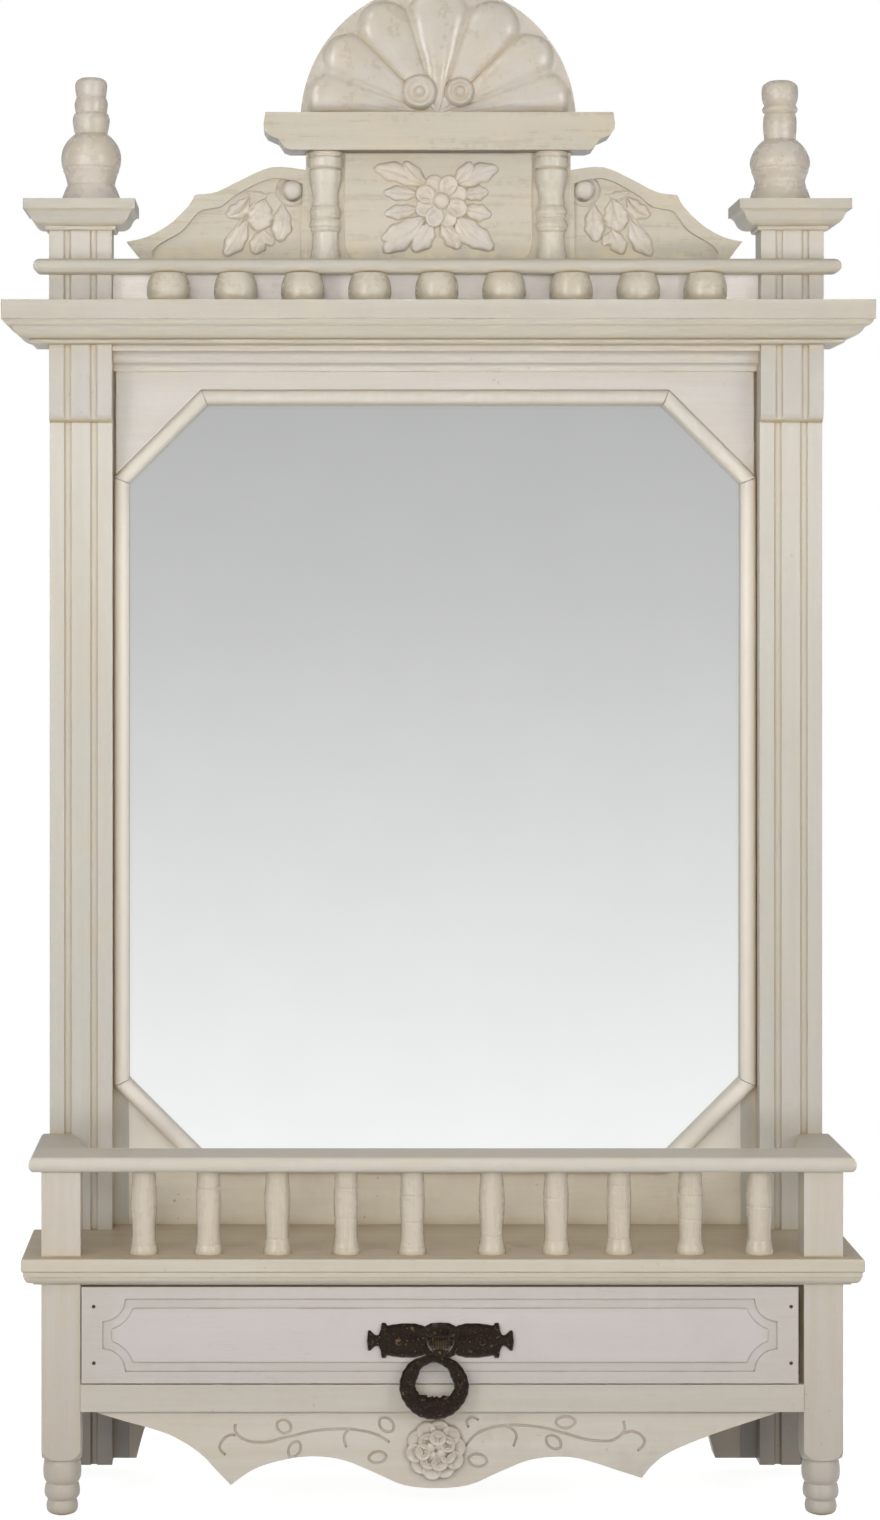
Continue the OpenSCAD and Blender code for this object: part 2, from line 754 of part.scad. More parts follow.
// Turning of a split column: share of its radius, and share of its height
column_curve = concat(
    smooth([[0.94, 0], [0.915, 0.09], [0.76, 0.21], [0.73, 0.3], [0.75, 0.333]]),
    smooth([[0.84, 0.35], [0.91, 0.394], [0.8, 0.44]], 3),
    smooth([[0.846, 0.463], [0.9, 0.502], [0.8, 0.54]], 3),
    smooth([[0.754, 0.583], [0.723, 0.646], [0.8, 0.703], [0.915, 0.77], [0.923, 0.847]]),
    smooth([[0.885, 0.865], [0.954, 0.885], [0.954, 0.977], [0.94, 1]], 3));

module crest_columns() {
    column_z = top_rail_z + 2;
    column_h = panel_top - column_z;
    color(pale) translate([crest_shift, 0, 0]) both_sides() at(column_x, crest_front, column_z)
        intersection() {
            turned(scaled(column_curve, column_r, column_h));
            translate([-2 * column_r, -2 * column_r, -cut_over])
                cube([4 * column_r, 2 * column_r, column_h + 2 * cut_over]);
        }
}

// Outline with n round petals around a centre
function petals(n, r, notch) = [for (a = [0:5:355])
    let (q = r * (1 - notch * (1 - sqrt(abs(sin(n * a / 2)))))) [q * cos(a), q * sin(a)]];

// Two rings of eight petals around a domed button
flower_r = 17.5;
flower_shift = 2;

module crest_flower() {
    color(pale) at(crest_shift + flower_shift, crest_front + field_rise, panel_top - flower_drop)
        rotate([90, 0, 0]) {
            linear_extrude(2.6) polygon(petals(8, flower_r, 0.3));
            linear_extrude(4) polygon(petals(8, flower_r * 0.62, 0.26));
            cylinder(r1 = flower_r * 0.32, r2 = flower_r * 0.2, h = 6);
        }
}

// Upper outline of a wing: share of its length from the panel, and share of its height
wing_curve = concat(
    smooth([[0, 0.98], [0.19, 1], [0.37, 0.902], [0.5, 0.82], [0.62, 0.8]]),
    smooth([[0.62, 0.8], [0.65, 0.729], [0.7, 0.658], [0.777, 0.572], [0.89, 0.493], [1, 0.46]]),
    smooth([[0.96, 0.397], [0.924, 0.335], [0.87, 0.256]], 2));

function wing_outline(l) = concat(
    [[0, crest_base_top], [0, cornice_top + wing_h * wing_curve[0][1]]],
    moved(scaled(wing_curve, l, wing_h), 0, cornice_top),
    [[l * 0.87, crest_base_top]]);

// Sunk field of a wing, inside its raised border
field_curve = concat(
    smooth([[0.02, 0.88], [0.19, 0.92], [0.37, 0.815], [0.447, 0.74], [0.482, 0.708]]),
    smooth([[0.482, 0.708], [0.588, 0.685], [0.63, 0.633], [0.693, 0.536], [0.819, 0.441], [0.861, 0.379]]),
    [[0.85, 0.335]]);

// A wing to the right of the panel, l long
module wing(l) {
    difference() {
        plate(crest_gap, crest_t) polygon(wing_outline(l));
        plate(crest_front - wing_sink, wing_sink + cut_over) polygon(concat(
            [[wing_border * 0.4, crest_base_top - cut_over]],
            moved(scaled(field_curve, l, wing_h), 0, cornice_top),
            [[l * 0.82, crest_base_top - cut_over]]));
    }
    wing_boss();
}

// Round boss of the volute at the head of a wing
boss_r = 7.2;
boss_h = 6;

module wing_boss() {
    at(boss_r + 2, crest_front - wing_sink, cornice_top + wing_h - 18)
        rotate([90, 0, 0]) cylinder(r1 = boss_r, r2 = boss_r * 0.7, h = boss_h);
}

module right_crest_wing() {
    color(cream) translate([crest_shift + panel_w / 2, 0, 0]) wing(right_wing_l);
}

module left_crest_wing() {
    color(cream) translate([crest_shift - panel_w / 2, 0, 0]) scale([-1, 1, 1]) wing(left_wing_l);
}

// Right half of the plate's outline, from the underside of its end up to its top corner
plate_curve = let (w = plate_w / 2) [
    [w - 19, 0], [w - 15, 1.4], [w - 11, 7.4], [w - 3, 11],
    [w - 0.4, 15], [w, plate_h - 8], [w - 1.2, plate_h]];

module crest_plate() {
    color(cream) translate([crest_shift, 0, panel_top]) plate(crest_gap, plate_d)
        polygon(concat(plate_curve, mirrored(plate_curve)));
}

// Distance from the middle of the shell's base to its rim in the direction a
function shell_rim(a) = sqrt(pow(shell_r, 2) - pow(shell_sink * cos(a), 2)) - shell_sink * sin(a);

// Direction in which the evenly counted angle a lies on the shell, whose upper lobes are the wider ones
function lobe_turn(a) = a - lobe_spread * sin(2 * a);

// Place across one lobe, from -1 to 1, and the scalloped edge of the lobes as a share of the rim
function lobe_place(a) = 2 * (a * shell_lobes / 180 - floor(min(a, 179.99) * shell_lobes / 180)) - 1;
function lobe_edge(a) = 0.97 - (0.06 + 0.09 * sin(a)) * pow(lobe_place(a), 2);

// Height of a lobe: rounded across, swelling outwards and turning down at its tip
function lobe_height(a, s) = shell_relief * sqrt(max(0, 1 - pow(lobe_place(a), 2)) * 0.92 + 0.02)
    * (0.35 + 0.65 * s) * sqrt(max(0, 1 - pow(s, 7)));

// The lobes start at a flat hub, which carries the two scrolls: its rise, its share of the rim, and the
// rings of the lobes as shares of their edge
hub_rise = shell_relief * 0.45;
hub_share = 0.36;
shell_steps = [hub_share, 0.48, 0.6, 0.72, 0.83, 0.91, 0.965, 1];
shell_fan = 8;

module crest_shell() {
    columns = shell_lobes * shell_fan;
    angles = [for (i = [0:columns]) 180 * i / columns];
    rows = len(shell_steps) + 1;
    back = [for (a = angles) let (t = lobe_turn(a)) [shell_rim(t) * cos(t), 0, shell_rim(t) * sin(t)]];
    front = [for (a = angles) for (k = [0:rows - 1])
        let (t = lobe_turn(a),
            s = k < rows - 1 ? shell_steps[k] : 1,
            reach = (k == 0 ? hub_share : k < rows - 1 ? lobe_edge(a) * s : 1) * shell_rim(t),
            rise = k == 0 ? hub_rise : k < rows - 1 ? lobe_height(a, s) : 0)
        [reach * cos(t), -shell_t - rise, reach * sin(t)]];
    hub = len(back) + len(front);
    points = concat(back, front, [[0, -shell_t - hub_rise, 0], [0, 0, 0]]);
    function f(i, k) = len(back) + i * rows + k;
    faces = concat(
        [for (i = [0:columns - 1]) [hub, f(i + 1, 0), f(i, 0)]],
        [for (i = [0:columns - 1]) for (k = [0:rows - 2]) [f(i, k), f(i + 1, k), f(i + 1, k + 1)]],
        [for (i = [0:columns - 1]) for (k = [0:rows - 2]) [f(i, k), f(i + 1, k + 1), f(i, k + 1)]],
        [for (i = [0:columns - 1]) [f(i, rows - 1), f(i + 1, rows - 1), i + 1]],
        [for (i = [0:columns - 1]) [f(i, rows - 1), i + 1, i]],
        [for (i = [0:columns - 1]) [i, i + 1, hub + 1]],
        [concat([hub + 1, hub], [for (k = [0:rows - 1]) f(0, k)], [0])],
        [concat([hub, hub + 1, columns], [for (k = [rows - 1:-1:0]) f(columns, k)])]);
    color(cream) translate([crest_shift, -crest_gap, plate_top]) polyhedron(points, faces);
}

// Two scrolls under the lobes, the left one larger: place from the middle of the shell, and radius
scrolls = [[-13.9, 13], [15.3, 10.8]];
scroll_rise = 16.5;

module shell_scrolls() {
    color(pale) for (scroll = scrolls)
        at(crest_shift + scroll[0], crest_gap + shell_t + hub_rise, plate_top + scroll_rise)
            rotate([90, 0, 0]) {
                cylinder(r = scroll[1], h = 3.5);
                cylinder(r1 = scroll[1] * 0.5, r2 = scroll[1] * 0.3, h = 7);
            }
}

// Section of the shelf's edge: inset and height
shelf_edge = let (r = 1.6) concat(
    [for (a = [-90:30:0]) [r - r * cos(a), shelf_z + r + r * sin(a)]],
    [for (a = [0:30:90]) [r - r * cos(a), shelf_top - r + r * sin(a)]]);

spindle_forward = leg_front - leg_w / 2;

// How far each spindle, from the left, was set off its even place by hand
spindle_drift = [3, 0, 0, 0, -1.8, 5.5, 2.4, -1.8, 0, 0];
function spindle_x(i) = spindle_shift + spindle_drift[i] + (i - (spindle_count - 1) / 2) * spindle_pitch;

// Square cuts that let a board of thickness t pass behind the faces of the stiles
module stile_notch(z, t) {
    both_sides() raised(z - cut_over, t + 2 * cut_over)
        translate([stile_inner_x, board_t - cut_over]) square([shelf_w, stile_t + cut_over]);
}

module shelf_board() {
    color(cream) difference() {
        moulded_board(shelf_w, shelf_front, board_t, shelf_edge);
        stile_notch(shelf_z, shelf_t);
        for (i = [0:spindle_count - 1]) at(spindle_x(i), spindle_forward, shelf_top - tenon_l - 1)
            cylinder(r = tenon_r + fit_gap, h = tenon_l + 1 + cut_over);
    }
}

under_edge = concat(
    [[under_inset, under_z], [under_inset, under_z + 1.2]],
    [for (a = [-90:15:0]) [under_inset - 1 - 5 * cos(a), under_z + 1.2 + 5 * (1 + sin(a))]],
    [[1.4, under_z + 6.2], [1.4, shelf_z]]);

module under_shelf_board() {
    color(cream) difference() {
        moulded_board(shelf_w, shelf_front, board_t, under_edge);
        stile_notch(under_z, under_t);
    }
}

module gallery_posts() {
    color(cream) both_sides() at(leg_x, leg_back, 0) raised(shelf_top, gallery_h)
        translate([-leg_w / 2, 0]) square([leg_w, leg_w]);
}

// Rounded edge of the gallery rails: inset and height
rail_edge = let (r = gallery_rail_t / 2)
    [for (a = [-90:15:90]) [(r - r * cos(a)) * 0.7, gallery_z + r + r * sin(a)]];
rail_w = shelf_w - 2 * (gallery_inset + 1);
rail_back = gallery_front - gallery_rail_d;

module gallery_front_rail() {
    color(cream) difference() {
        moulded_board(rail_w, gallery_front, rail_back, rail_edge);
        for (i = [0:spindle_count - 1]) at(spindle_x(i), spindle_forward, gallery_z - cut_over)
            cylinder(r = tenon_r + fit_gap, h = tenon_l + 1 + cut_over);
    }
}

module gallery_side_rails() {
    wide = 36.5;
    narrow = 23;
    color(cream) both_sides() intersection() {
        moulded_board(rail_w, gallery_front, stile_front, rail_edge);
        raised(gallery_z - cut_over, gallery_rail_t + 2 * cut_over) polygon([
            [rail_w / 2 - narrow, stile_front], [rail_w / 2 + cut_over, stile_front],
            [rail_w / 2 + cut_over, rail_back], [rail_w / 2 - wide, rail_back]]);
    }
}

// Spindle turning: share of the largest radius, and share of the height
spindle_curve = concat(
    smooth([[1, 0], [1, 0.05], [0.9, 0.12], [0.83, 0.2]]),
    smooth([[0.8, 0.22], [0.82, 0.32], [0.87, 0.42]], 3),
    smooth([[0.85, 0.435], [0.905, 0.55], [0.9, 0.7]], 3),
    smooth([[0.87, 0.715], [0.87, 0.84]], 2),
    smooth([[0.84, 0.855], [0.84, 1]], 2));

module gallery_spindles() {
    color(pale) for (i = [0:spindle_count - 1]) at(spindle_x(i), spindle_forward, shelf_top) {
        turned(scaled(spindle_curve, spindle_r, gallery_h));
        translate([0, 0, -tenon_l]) cylinder(r = tenon_r, h = gallery_h + 2 * tenon_l);
    }
}

// Foot turning: share of its largest radius, and share of its height
foot_curve = concat(
    smooth([[0.4, 0], [0.74, 0.05], [0.83, 0.15], [0.77, 0.255]]),
    smooth([[0.75, 0.275], [0.9, 0.34], [0.93, 0.44], [0.87, 0.54]]),
    smooth([[0.82, 0.565], [0.96, 0.65], [1, 0.79], [0.96, 0.93], [0.88, 1]]));

// A square leg whose lower end is rounded off onto a turned foot
module one_leg() {
    shoulder = 11;
    corner = leg_w * 0.72;
    neck = foot_r * 0.86;
    at(leg_x, leg_front - leg_w / 2, foot_tip) {
        turned(scaled(foot_curve, foot_r, foot_h));
        intersection() {
            translate([-leg_w / 2, -leg_w / 2, foot_h]) cube([leg_w, leg_w, leg_h - foot_h]);
            turned(concat(
                [for (a = [0:15:90]) [neck + (corner - neck) * sin(a), foot_h + shoulder * (1 - cos(a))]],
                [[corner, leg_h]]));
        }
    }
}

module left_leg() {
    color(pale) scale([-1, 1, 1]) one_leg();
}

module right_leg() {
    color(pale) one_leg();
}

module side_panels() {
    color(cream) both_sides() raised(low_rail_z, under_z - low_rail_z)
        translate([side_inner_x, stile_front]) square([side_t, leg_back - stile_front]);
}

side_inner_x = leg_x + 4 - side_t / 2;
drawer_half_w = leg_inner_x - gap_right - 0.5;
drawer_side_z = drawer_z + 3;
low_rail_front = leg_front + 1;
low_rail_back = low_rail_front - low_rail_t;

module drawer_runners() {
    ledge_w = 14;
    ledge_h = 10;
    top = drawer_side_z - slide_gap;
    color("burlywood") both_sides() {
        raised(top - ledge_h, ledge_h) polygon([
            [leg_inner_x - ledge_w, stile_front], [side_inner_x, stile_front], [side_inner_x, leg_back],
            [leg_inner_x, leg_back], [leg_inner_x, low_rail_back], [leg_inner_x - ledge_w, low_rail_back]]);
        raised(top, drawer_side_h * 0.7) translate([drawer_half_w + slide_gap, stile_front])
            square([side_inner_x - drawer_half_w - slide_gap, leg_back - stile_front]);
    }
}

module drawer_rail() {
    color(pale) plate(low_rail_back, low_rail_t) translate([-leg_inner_x, low_rail_z])
        square([2 * leg_inner_x, low_rail_h]);
}

apron_front = leg_front - 3;

// Lower outline of the apron, sawn by eye: share of its half width, and share of its depth
apron_curve = concat(
    smooth([[-1, -0.01], [-0.93, -0.11], [-0.84, -0.22], [-0.765, -0.34], [-0.69, -0.55],
        [-0.64, -0.78], [-0.6, -0.96]]),
    smooth([[-0.6, -0.96], [-0.53, -0.75], [-0.44, -0.63], [-0.355, -0.59], [-0.27, -0.64],
        [-0.18, -0.8], [-0.095, -0.96], [0, -1], [0.095, -0.96], [0.18, -0.8], [0.27, -0.64],
        [0.355, -0.595], [0.424, -0.625], [0.52, -0.757], [0.6, -0.87]]),
    smooth([[0.6, -0.87], [0.634, -0.69], [0.687, -0.525], [0.797, -0.322], [0.9, -0.165], [1, -0.02]]));

module apron() {
    color(cream) translate([apron_shift, 0, low_rail_z]) plate(apron_front - apron_t, apron_t)
        polygon(concat([[-apron_w / 2, 0]], scaled(apron_curve, apron_w / 2, apron_drop), [[apron_w / 2, 0]]));
}

rosette_r = 22;

module apron_rosette() {
    color(pale) at(apron_shift - 0.5, apron_front, low_rail_z - 0.5 * apron_drop) rotate([90, 0, 0]) {
        linear_extrude(2.4) polygon(petals(8, rosette_r, 0.24));
        linear_extrude(4) polygon(petals(6, rosette_r * 0.64, 0.24));
        cylinder(r1 = rosette_r * 0.24, r2 = rosette_r * 0.14, h = 5.4);
    }
}

drawer_x0 = gap_left - leg_inner_x;
drawer_x1 = leg_inner_x - gap_right;
drawer_back_y = stile_front + drawer_back_gap;
drawer_front_back = drawer_face - drawer_front_t;
drawer_bottom_z = drawer_side_z + 6;
drawer_nail_x = drawer_half_w - drawer_side_t / 2;

// Outline with hollow corners, drawn a distance e inside the rectangle w by h
module hollow_cornered(w, h, r, e) {
    start = asin(e / (r + e));
    quarter = [for (i = [0:6]) let (a = start + (90 - 2 * start) * i / 6)
        [w / 2 - (r + e) * cos(a), h / 2 - (r + e) * sin(a)]];
    polygon(concat(quarter, [for (q = reversed(quarter)) [q[0], -q[1]]],
        [for (q = quarter) [-q[0], -q[1]]], mirrored(quarter)));
}

// Holes for the panel pins, along the drawer sides
module nail_places() {
    for (side = [-1, 1]) for (z = [drawer_side_z + 11, drawer_side_z + drawer_side_h - 6])
        translate([side * drawer_nail_x, 0, z]) children();
}

handle_x = handle_shift;
handle_z = drawer_z + handle_rise;
handle_screw_r = 1.5;
handle_screw_l = 12;
handle_face = drawer_face + handle_t;

module handle_screw_places() {
    for (side = [-1, 1]) translate([handle_x + side * handle_screw_gap / 2, 0, handle_z]) children();
}

module drawer_front() {
    w = drawer_x1 - drawer_x0 - 2 * rout_end;
    h = drawer_h - 2 * rout_edge;
    color(pale) difference() {
        plate(drawer_front_back, drawer_front_t) translate([drawer_x0, drawer_z])
            square([drawer_x1 - drawer_x0, drawer_h]);
        translate([(drawer_x0 + drawer_x1) / 2, 0, drawer_z + drawer_h / 2])
            plate(drawer_face - rout_d, rout_d + cut_over) difference() {
                hollow_cornered(w, h, rout_corner, 0.01);
                hollow_cornered(w, h, rout_corner, rout_w);
            }
        raised(drawer_bottom_z, drawer_bottom_t)
            translate([-drawer_half_w + drawer_side_t - drawer_groove, 0])
            square([2 * (drawer_half_w - drawer_side_t + drawer_groove), drawer_front_back + drawer_groove]);
        nail_places() pin_y(0, drawer_face + cut_over, 0, nail_r + fit_gap, nail_l);
        handle_screw_places()
            pin_y(0, drawer_face + cut_over, 0, handle_screw_r + fit_gap, handle_screw_l + cut_over);
    }
}

module drawer_sides() {
    color("burlywood") both_sides() difference() {
        raised(drawer_side_z, drawer_side_h) translate([drawer_half_w - drawer_side_t, drawer_back_y])
            square([drawer_side_t, drawer_front_back - drawer_back_y]);
        raised(drawer_bottom_z, drawer_bottom_t)
            translate([drawer_half_w - drawer_side_t - cut_over, drawer_back_y - cut_over])
            square([drawer_groove + cut_over, drawer_front_back - drawer_back_y + 2 * cut_over]);
        for (z = [drawer_side_z + 11, drawer_side_z + drawer_side_h - 6])
            pin_y(drawer_nail_x, drawer_face, z, nail_r + fit_gap, nail_l + 1);
    }
}

module drawer_back() {
    z = drawer_bottom_z + drawer_bottom_t;
    color("burlywood") raised(z, drawer_side_z + drawer_side_h - z)
        translate([drawer_side_t - drawer_half_w, drawer_back_y])
        square([2 * (drawer_half_w - drawer_side_t), drawer_side_t]);
}

module drawer_bottom() {
    w = 2 * (drawer_half_w - drawer_side_t + drawer_groove - fit_gap);
    color("tan") raised(drawer_bottom_z, drawer_bottom_t) translate([-w / 2, drawer_back_y])
        square([w, drawer_front_back + drawer_groove - fit_gap - drawer_back_y]);
}

module drawer_nails() {
    color(steel) nail_places() pin_y(0, drawer_face, 0, nail_r, nail_l);
}

// Right half of the back plate's outline: share of its half length, and share of its half height
handle_curve = concat(
    smooth([[0, 1.02], [0.12, 0.98], [0.2, 0.8], [0.28, 0.9], [0.42, 1], [0.56, 0.94], [0.64, 0.88]]),
    smooth([[0.66, 1.04], [0.72, 1.06], [0.74, 0.9], [0.72, 0.66]], 3),
    smooth([[0.76, 0.4], [0.84, 0.2], [0.9, 0.26], [0.94, 0.56], [0.99, 0.5], [0.98, 0.2], [1, 0]], 3));

function flipped(p) = [for (q = reversed(p)) [q[0], -q[1]]];

pivot_forward = handle_face + bail_r + 0.8;
lug_gap = 5.2;
lug_t = 3;
lug_r = 4.4;

module handle_plate() {
    half = scaled(concat(handle_curve, flipped(handle_curve)), handle_w / 2, handle_h / 2);
    color(bronze) difference() {
        translate([handle_x, 0, handle_z]) {
            plate(drawer_face, handle_t) polygon(concat(half, mirrored(half)));
            for (side = [-1, 1]) at(side * (lug_gap + lug_t / 2), pivot_forward, 0) {
                rotate([0, 90, 0]) cylinder(r = lug_r, h = lug_t, center = true);
                translate([-lug_t / 2, 0, -lug_r]) cube([lug_t, pivot_forward - handle_face + 1, 2 * lug_r]);
            }
        }
        handle_screw_places()
            pin_y(0, handle_face + cut_over, 0, handle_screw_r + fit_gap, handle_t + 2 * cut_over);
        at(handle_x, pivot_forward, handle_z) rotate([0, 90, 0])
            cylinder(r = pivot_r, h = 4 * (lug_gap + lug_t), center = true);
    }
}

module handle_screws() {
    color(bronze) handle_screw_places() {
        pin_y(0, handle_face, 0, handle_screw_r, handle_screw_l);
        at(0, handle_face, 0) rotate([90, 0, 0]) cylinder(r1 = 3, r2 = 2, h = 1.6);
    }
}

module bail_pin() {
    color(bronze) at(handle_x, pivot_forward, handle_z) rotate([0, 90, 0])
        cylinder(r = pivot_r, h = 2 * (lug_gap + lug_t), center = true);
}

module bail() {
    eye_r = 4.4;
    eye_l = 2 * (lug_gap - 0.2);
    drop = bail_ring_r + bail_r + eye_r + 1.6;
    color(bronze) at(handle_x, pivot_forward, handle_z) difference() {
        union() {
            rotate([0, 90, 0]) cylinder(r = eye_r, h = eye_l, center = true);
            translate([-eye_l / 2, -3, -eye_r - bail_r]) cube([eye_l, 6, eye_r + bail_r]);
            translate([bail_shift, 0, -drop]) rotate([90, 0, 0]) rotate_extrude()
                translate([bail_ring_r, 0]) circle(r = bail_r);
        }
        rotate([0, 90, 0]) cylinder(r = pivot_r + pivot_clear, h = 2 * eye_l, center = true);
    }
}

module hanger_plates() {
    color(steel) both_sides() difference() {
        plate(0, hanger_t) translate([hanger_x, hanger_z]) square([hanger_w, hanger_h]);
        pin_y(hanger_x + hanger_w / 2, hanger_t + cut_over, hanger_z + hanger_hole_z,
            hanger_hole_r, hanger_t + 2 * cut_over);
        for (z = [hanger_screw_inset, hanger_h - hanger_screw_inset]) {
            pin_y(hanger_x + hanger_w / 2, hanger_t + cut_over, hanger_z + z, hanger_screw_r + fit_gap,
                hanger_t + 2 * cut_over);
            pin_y(hanger_x + hanger_w / 2, hanger_head_t, hanger_z + z, hanger_head_r + fit_gap,
                hanger_head_t + cut_over);
        }
    }
}

module hanger_screws() {
    color(steel) both_sides() for (z = [hanger_screw_inset, hanger_h - hanger_screw_inset]) {
        pin_y(hanger_x + hanger_w / 2, hanger_screw_l, hanger_z + z, hanger_screw_r, hanger_screw_l);
        pin_y(hanger_x + hanger_w / 2, hanger_head_t, hanger_z + z, hanger_head_r, hanger_head_t);
    }
}

left_side_board();
right_side_board();
head_board();
foot_board();
corner_spandrels();
opening_bead();
mirror_glass();
mirror_back_panel();
back_panel_blocks();
left_stile();
right_stile();
capital_blocks();
frieze_strip();
cove_moulding();
cornice_core();
cornice_front();
cornice_returns();
cornice_buns();
top_rail();
pinnacle_posts();
pinnacle_caps();
finials();
crest_base_board();
crest_panel();
crest_columns();
crest_flower();
left_crest_wing();
right_crest_wing();
crest_plate();
crest_shell();
shell_scrolls();
shelf_board();
under_shelf_board();
gallery_posts();
gallery_front_rail();
gallery_side_rails();
gallery_spindles();
left_leg();
right_leg();
side_panels();
drawer_runners();
drawer_rail();
apron();
apron_rosette();
drawer_front();
drawer_sides();
drawer_back();
drawer_bottom();
drawer_nails();
handle_plate();
handle_screws();
bail_pin();
bail();
hanger_plates();
hanger_screws();
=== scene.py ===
"""Looks of a painted wall mirror: old cream paint with patina, carved crest and apron, turned spindles,
a bronze drawer handle and an octagonal glass. Lengths are in metres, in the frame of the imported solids."""

import logging
import math
from dataclasses import dataclass, replace
from enum import Enum
from typing import Any, Callable, Sequence

import bmesh
import bpy
from mathutils import Matrix, Vector


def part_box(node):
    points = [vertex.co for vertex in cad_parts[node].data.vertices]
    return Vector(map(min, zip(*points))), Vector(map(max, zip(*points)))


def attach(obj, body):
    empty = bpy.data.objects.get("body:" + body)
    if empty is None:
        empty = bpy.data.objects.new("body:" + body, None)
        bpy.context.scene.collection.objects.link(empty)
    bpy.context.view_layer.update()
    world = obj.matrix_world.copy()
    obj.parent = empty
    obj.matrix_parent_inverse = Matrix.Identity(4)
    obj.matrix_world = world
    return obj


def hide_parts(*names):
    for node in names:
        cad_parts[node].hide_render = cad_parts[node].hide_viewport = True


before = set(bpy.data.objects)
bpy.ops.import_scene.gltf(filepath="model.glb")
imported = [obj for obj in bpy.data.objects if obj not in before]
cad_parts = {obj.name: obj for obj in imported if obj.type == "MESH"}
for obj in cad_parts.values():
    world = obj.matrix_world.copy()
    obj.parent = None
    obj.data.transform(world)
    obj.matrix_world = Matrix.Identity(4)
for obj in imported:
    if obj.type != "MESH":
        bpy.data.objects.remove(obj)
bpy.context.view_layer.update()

Socket = bpy.types.NodeSocket
Colour = tuple[float, float, float]
Point = tuple[float, float]
Place = tuple[float, float, float]

PER_METRE = 1000.0
WELD = 0.0005
ORIGIN: Place = (0.0, 0.0, 0.0)

log = logging.getLogger("wall_mirror")


class Grain(Enum):
    """Direction in which the fibres and brush strokes of a piece run."""

    ALONG_X = (0.05, 1.0, 1.0)
    ALONG_Z = (1.0, 1.0, 0.05)
    EVEN = (0.32, 0.32, 0.32)


# Shader building


class Wiring:
    """Adds nodes to one node tree and joins their sockets."""

    def __init__(self, tree: bpy.types.NodeTree) -> None:
        """Keeps the tree that the nodes go into."""
        self.tree = tree

    def send(self, value: Any, socket: Socket) -> None:
        """Gives a socket a constant or another node's output."""
        if isinstance(value, Socket):
            self.tree.links.new(value, socket)
        else:
            socket.default_value = value

    def add(self, kind: str, inputs: dict[Any, Any] | None = None, **settings: Any) -> bpy.types.Node:
        """Adds one node.

        Args:
            kind: Blender's type name of the node.
            inputs: socket name or number, with a constant or another node's output.
            settings: properties of the node itself.

        Returns:
            The new node.
        """
        node = self.tree.nodes.new(kind)
        for name, value in settings.items():
            setattr(node, name, value)
        for key, value in (inputs or {}).items():
            self.send(value, node.inputs[key])
        return node

    def group(self, shared: bpy.types.NodeTree, **inputs: Any) -> Any:
        """Places a shared group with constants or sockets for its inputs, and returns its outputs."""
        return self.add("ShaderNodeGroup", inputs, node_tree=shared).outputs

    def math(self, operation: str, a: Any, b: Any = 0.0, clamp: bool = False) -> Socket:
        """Returns the result of one Math node."""
        return self.add("ShaderNodeMath", {0: a, 1: b}, operation=operation, use_clamp=clamp).outputs[0]

    def times(self, a: Any, b: Any, clamp: bool = False) -> Socket:
        """Returns a times b."""
        return self.math("MULTIPLY", a, b, clamp)

    def plus(self, a: Any, b: Any, clamp: bool = False) -> Socket:
        """Returns a plus b."""
        return self.math("ADD", a, b, clamp)

    def minus(self, a: Any, b: Any) -> Socket:
        """Returns a minus b."""
        return self.math("SUBTRACT", a, b)

    def mix(self, factor: Any, a: Any, b: Any, blend: str = "MIX") -> Socket:
        """Returns the colour of one Mix node."""
        first, second = (value if isinstance(value, Socket) else (*value, 1.0) for value in (a, b))
        return self.add("ShaderNodeMix", {0: factor, 6: first, 7: second}, data_type="RGBA", blend_type=blend,
                        clamp_factor=True).outputs[2]

    def span(self, value: Any, low: float, high: float, to_low: float = 0.0, to_high: float = 1.0) -> Socket:
        """Returns value mapped smoothly from the span low..high to to_low..to_high."""
        return self.add("ShaderNodeMapRange", {0: value, 1: low, 2: high, 3: to_low, 4: to_high},
                        interpolation_type="SMOOTHSTEP").outputs[0]

    def noise(self, coords: Socket, scale: Any, detail: float = 4.0, rough: float = 0.55) -> Socket:
        """Returns the value of a noise texture."""
        return self.add("ShaderNodeTexNoise", {"Vector": coords, "Scale": scale, "Detail": detail,
                                               "Roughness": rough}).outputs[0]

    def scaled(self, coords: Socket, factors: Any) -> Socket:
        """Returns coordinates multiplied axis by axis."""
        return self.add("ShaderNodeVectorMath", {0: coords, 1: factors}, operation="MULTIPLY").outputs[0]

    def surface(self, shader: bpy.types.Node, colour: Socket, roughness: Socket, **bump: Any) -> None:
        """Joins a finish to its shader.

        Args:
            shader: the Principled node.
            colour: the base colour.
            roughness: the roughness.
            bump: inputs of a Bump node; without any the surface stays smooth.
        """
        self.send(colour, shader.inputs["Base Color"])
        self.send(roughness, shader.inputs["Roughness"])
        if bump:
            self.send(self.add("ShaderNodeBump", bump).outputs[0], shader.inputs["Normal"])


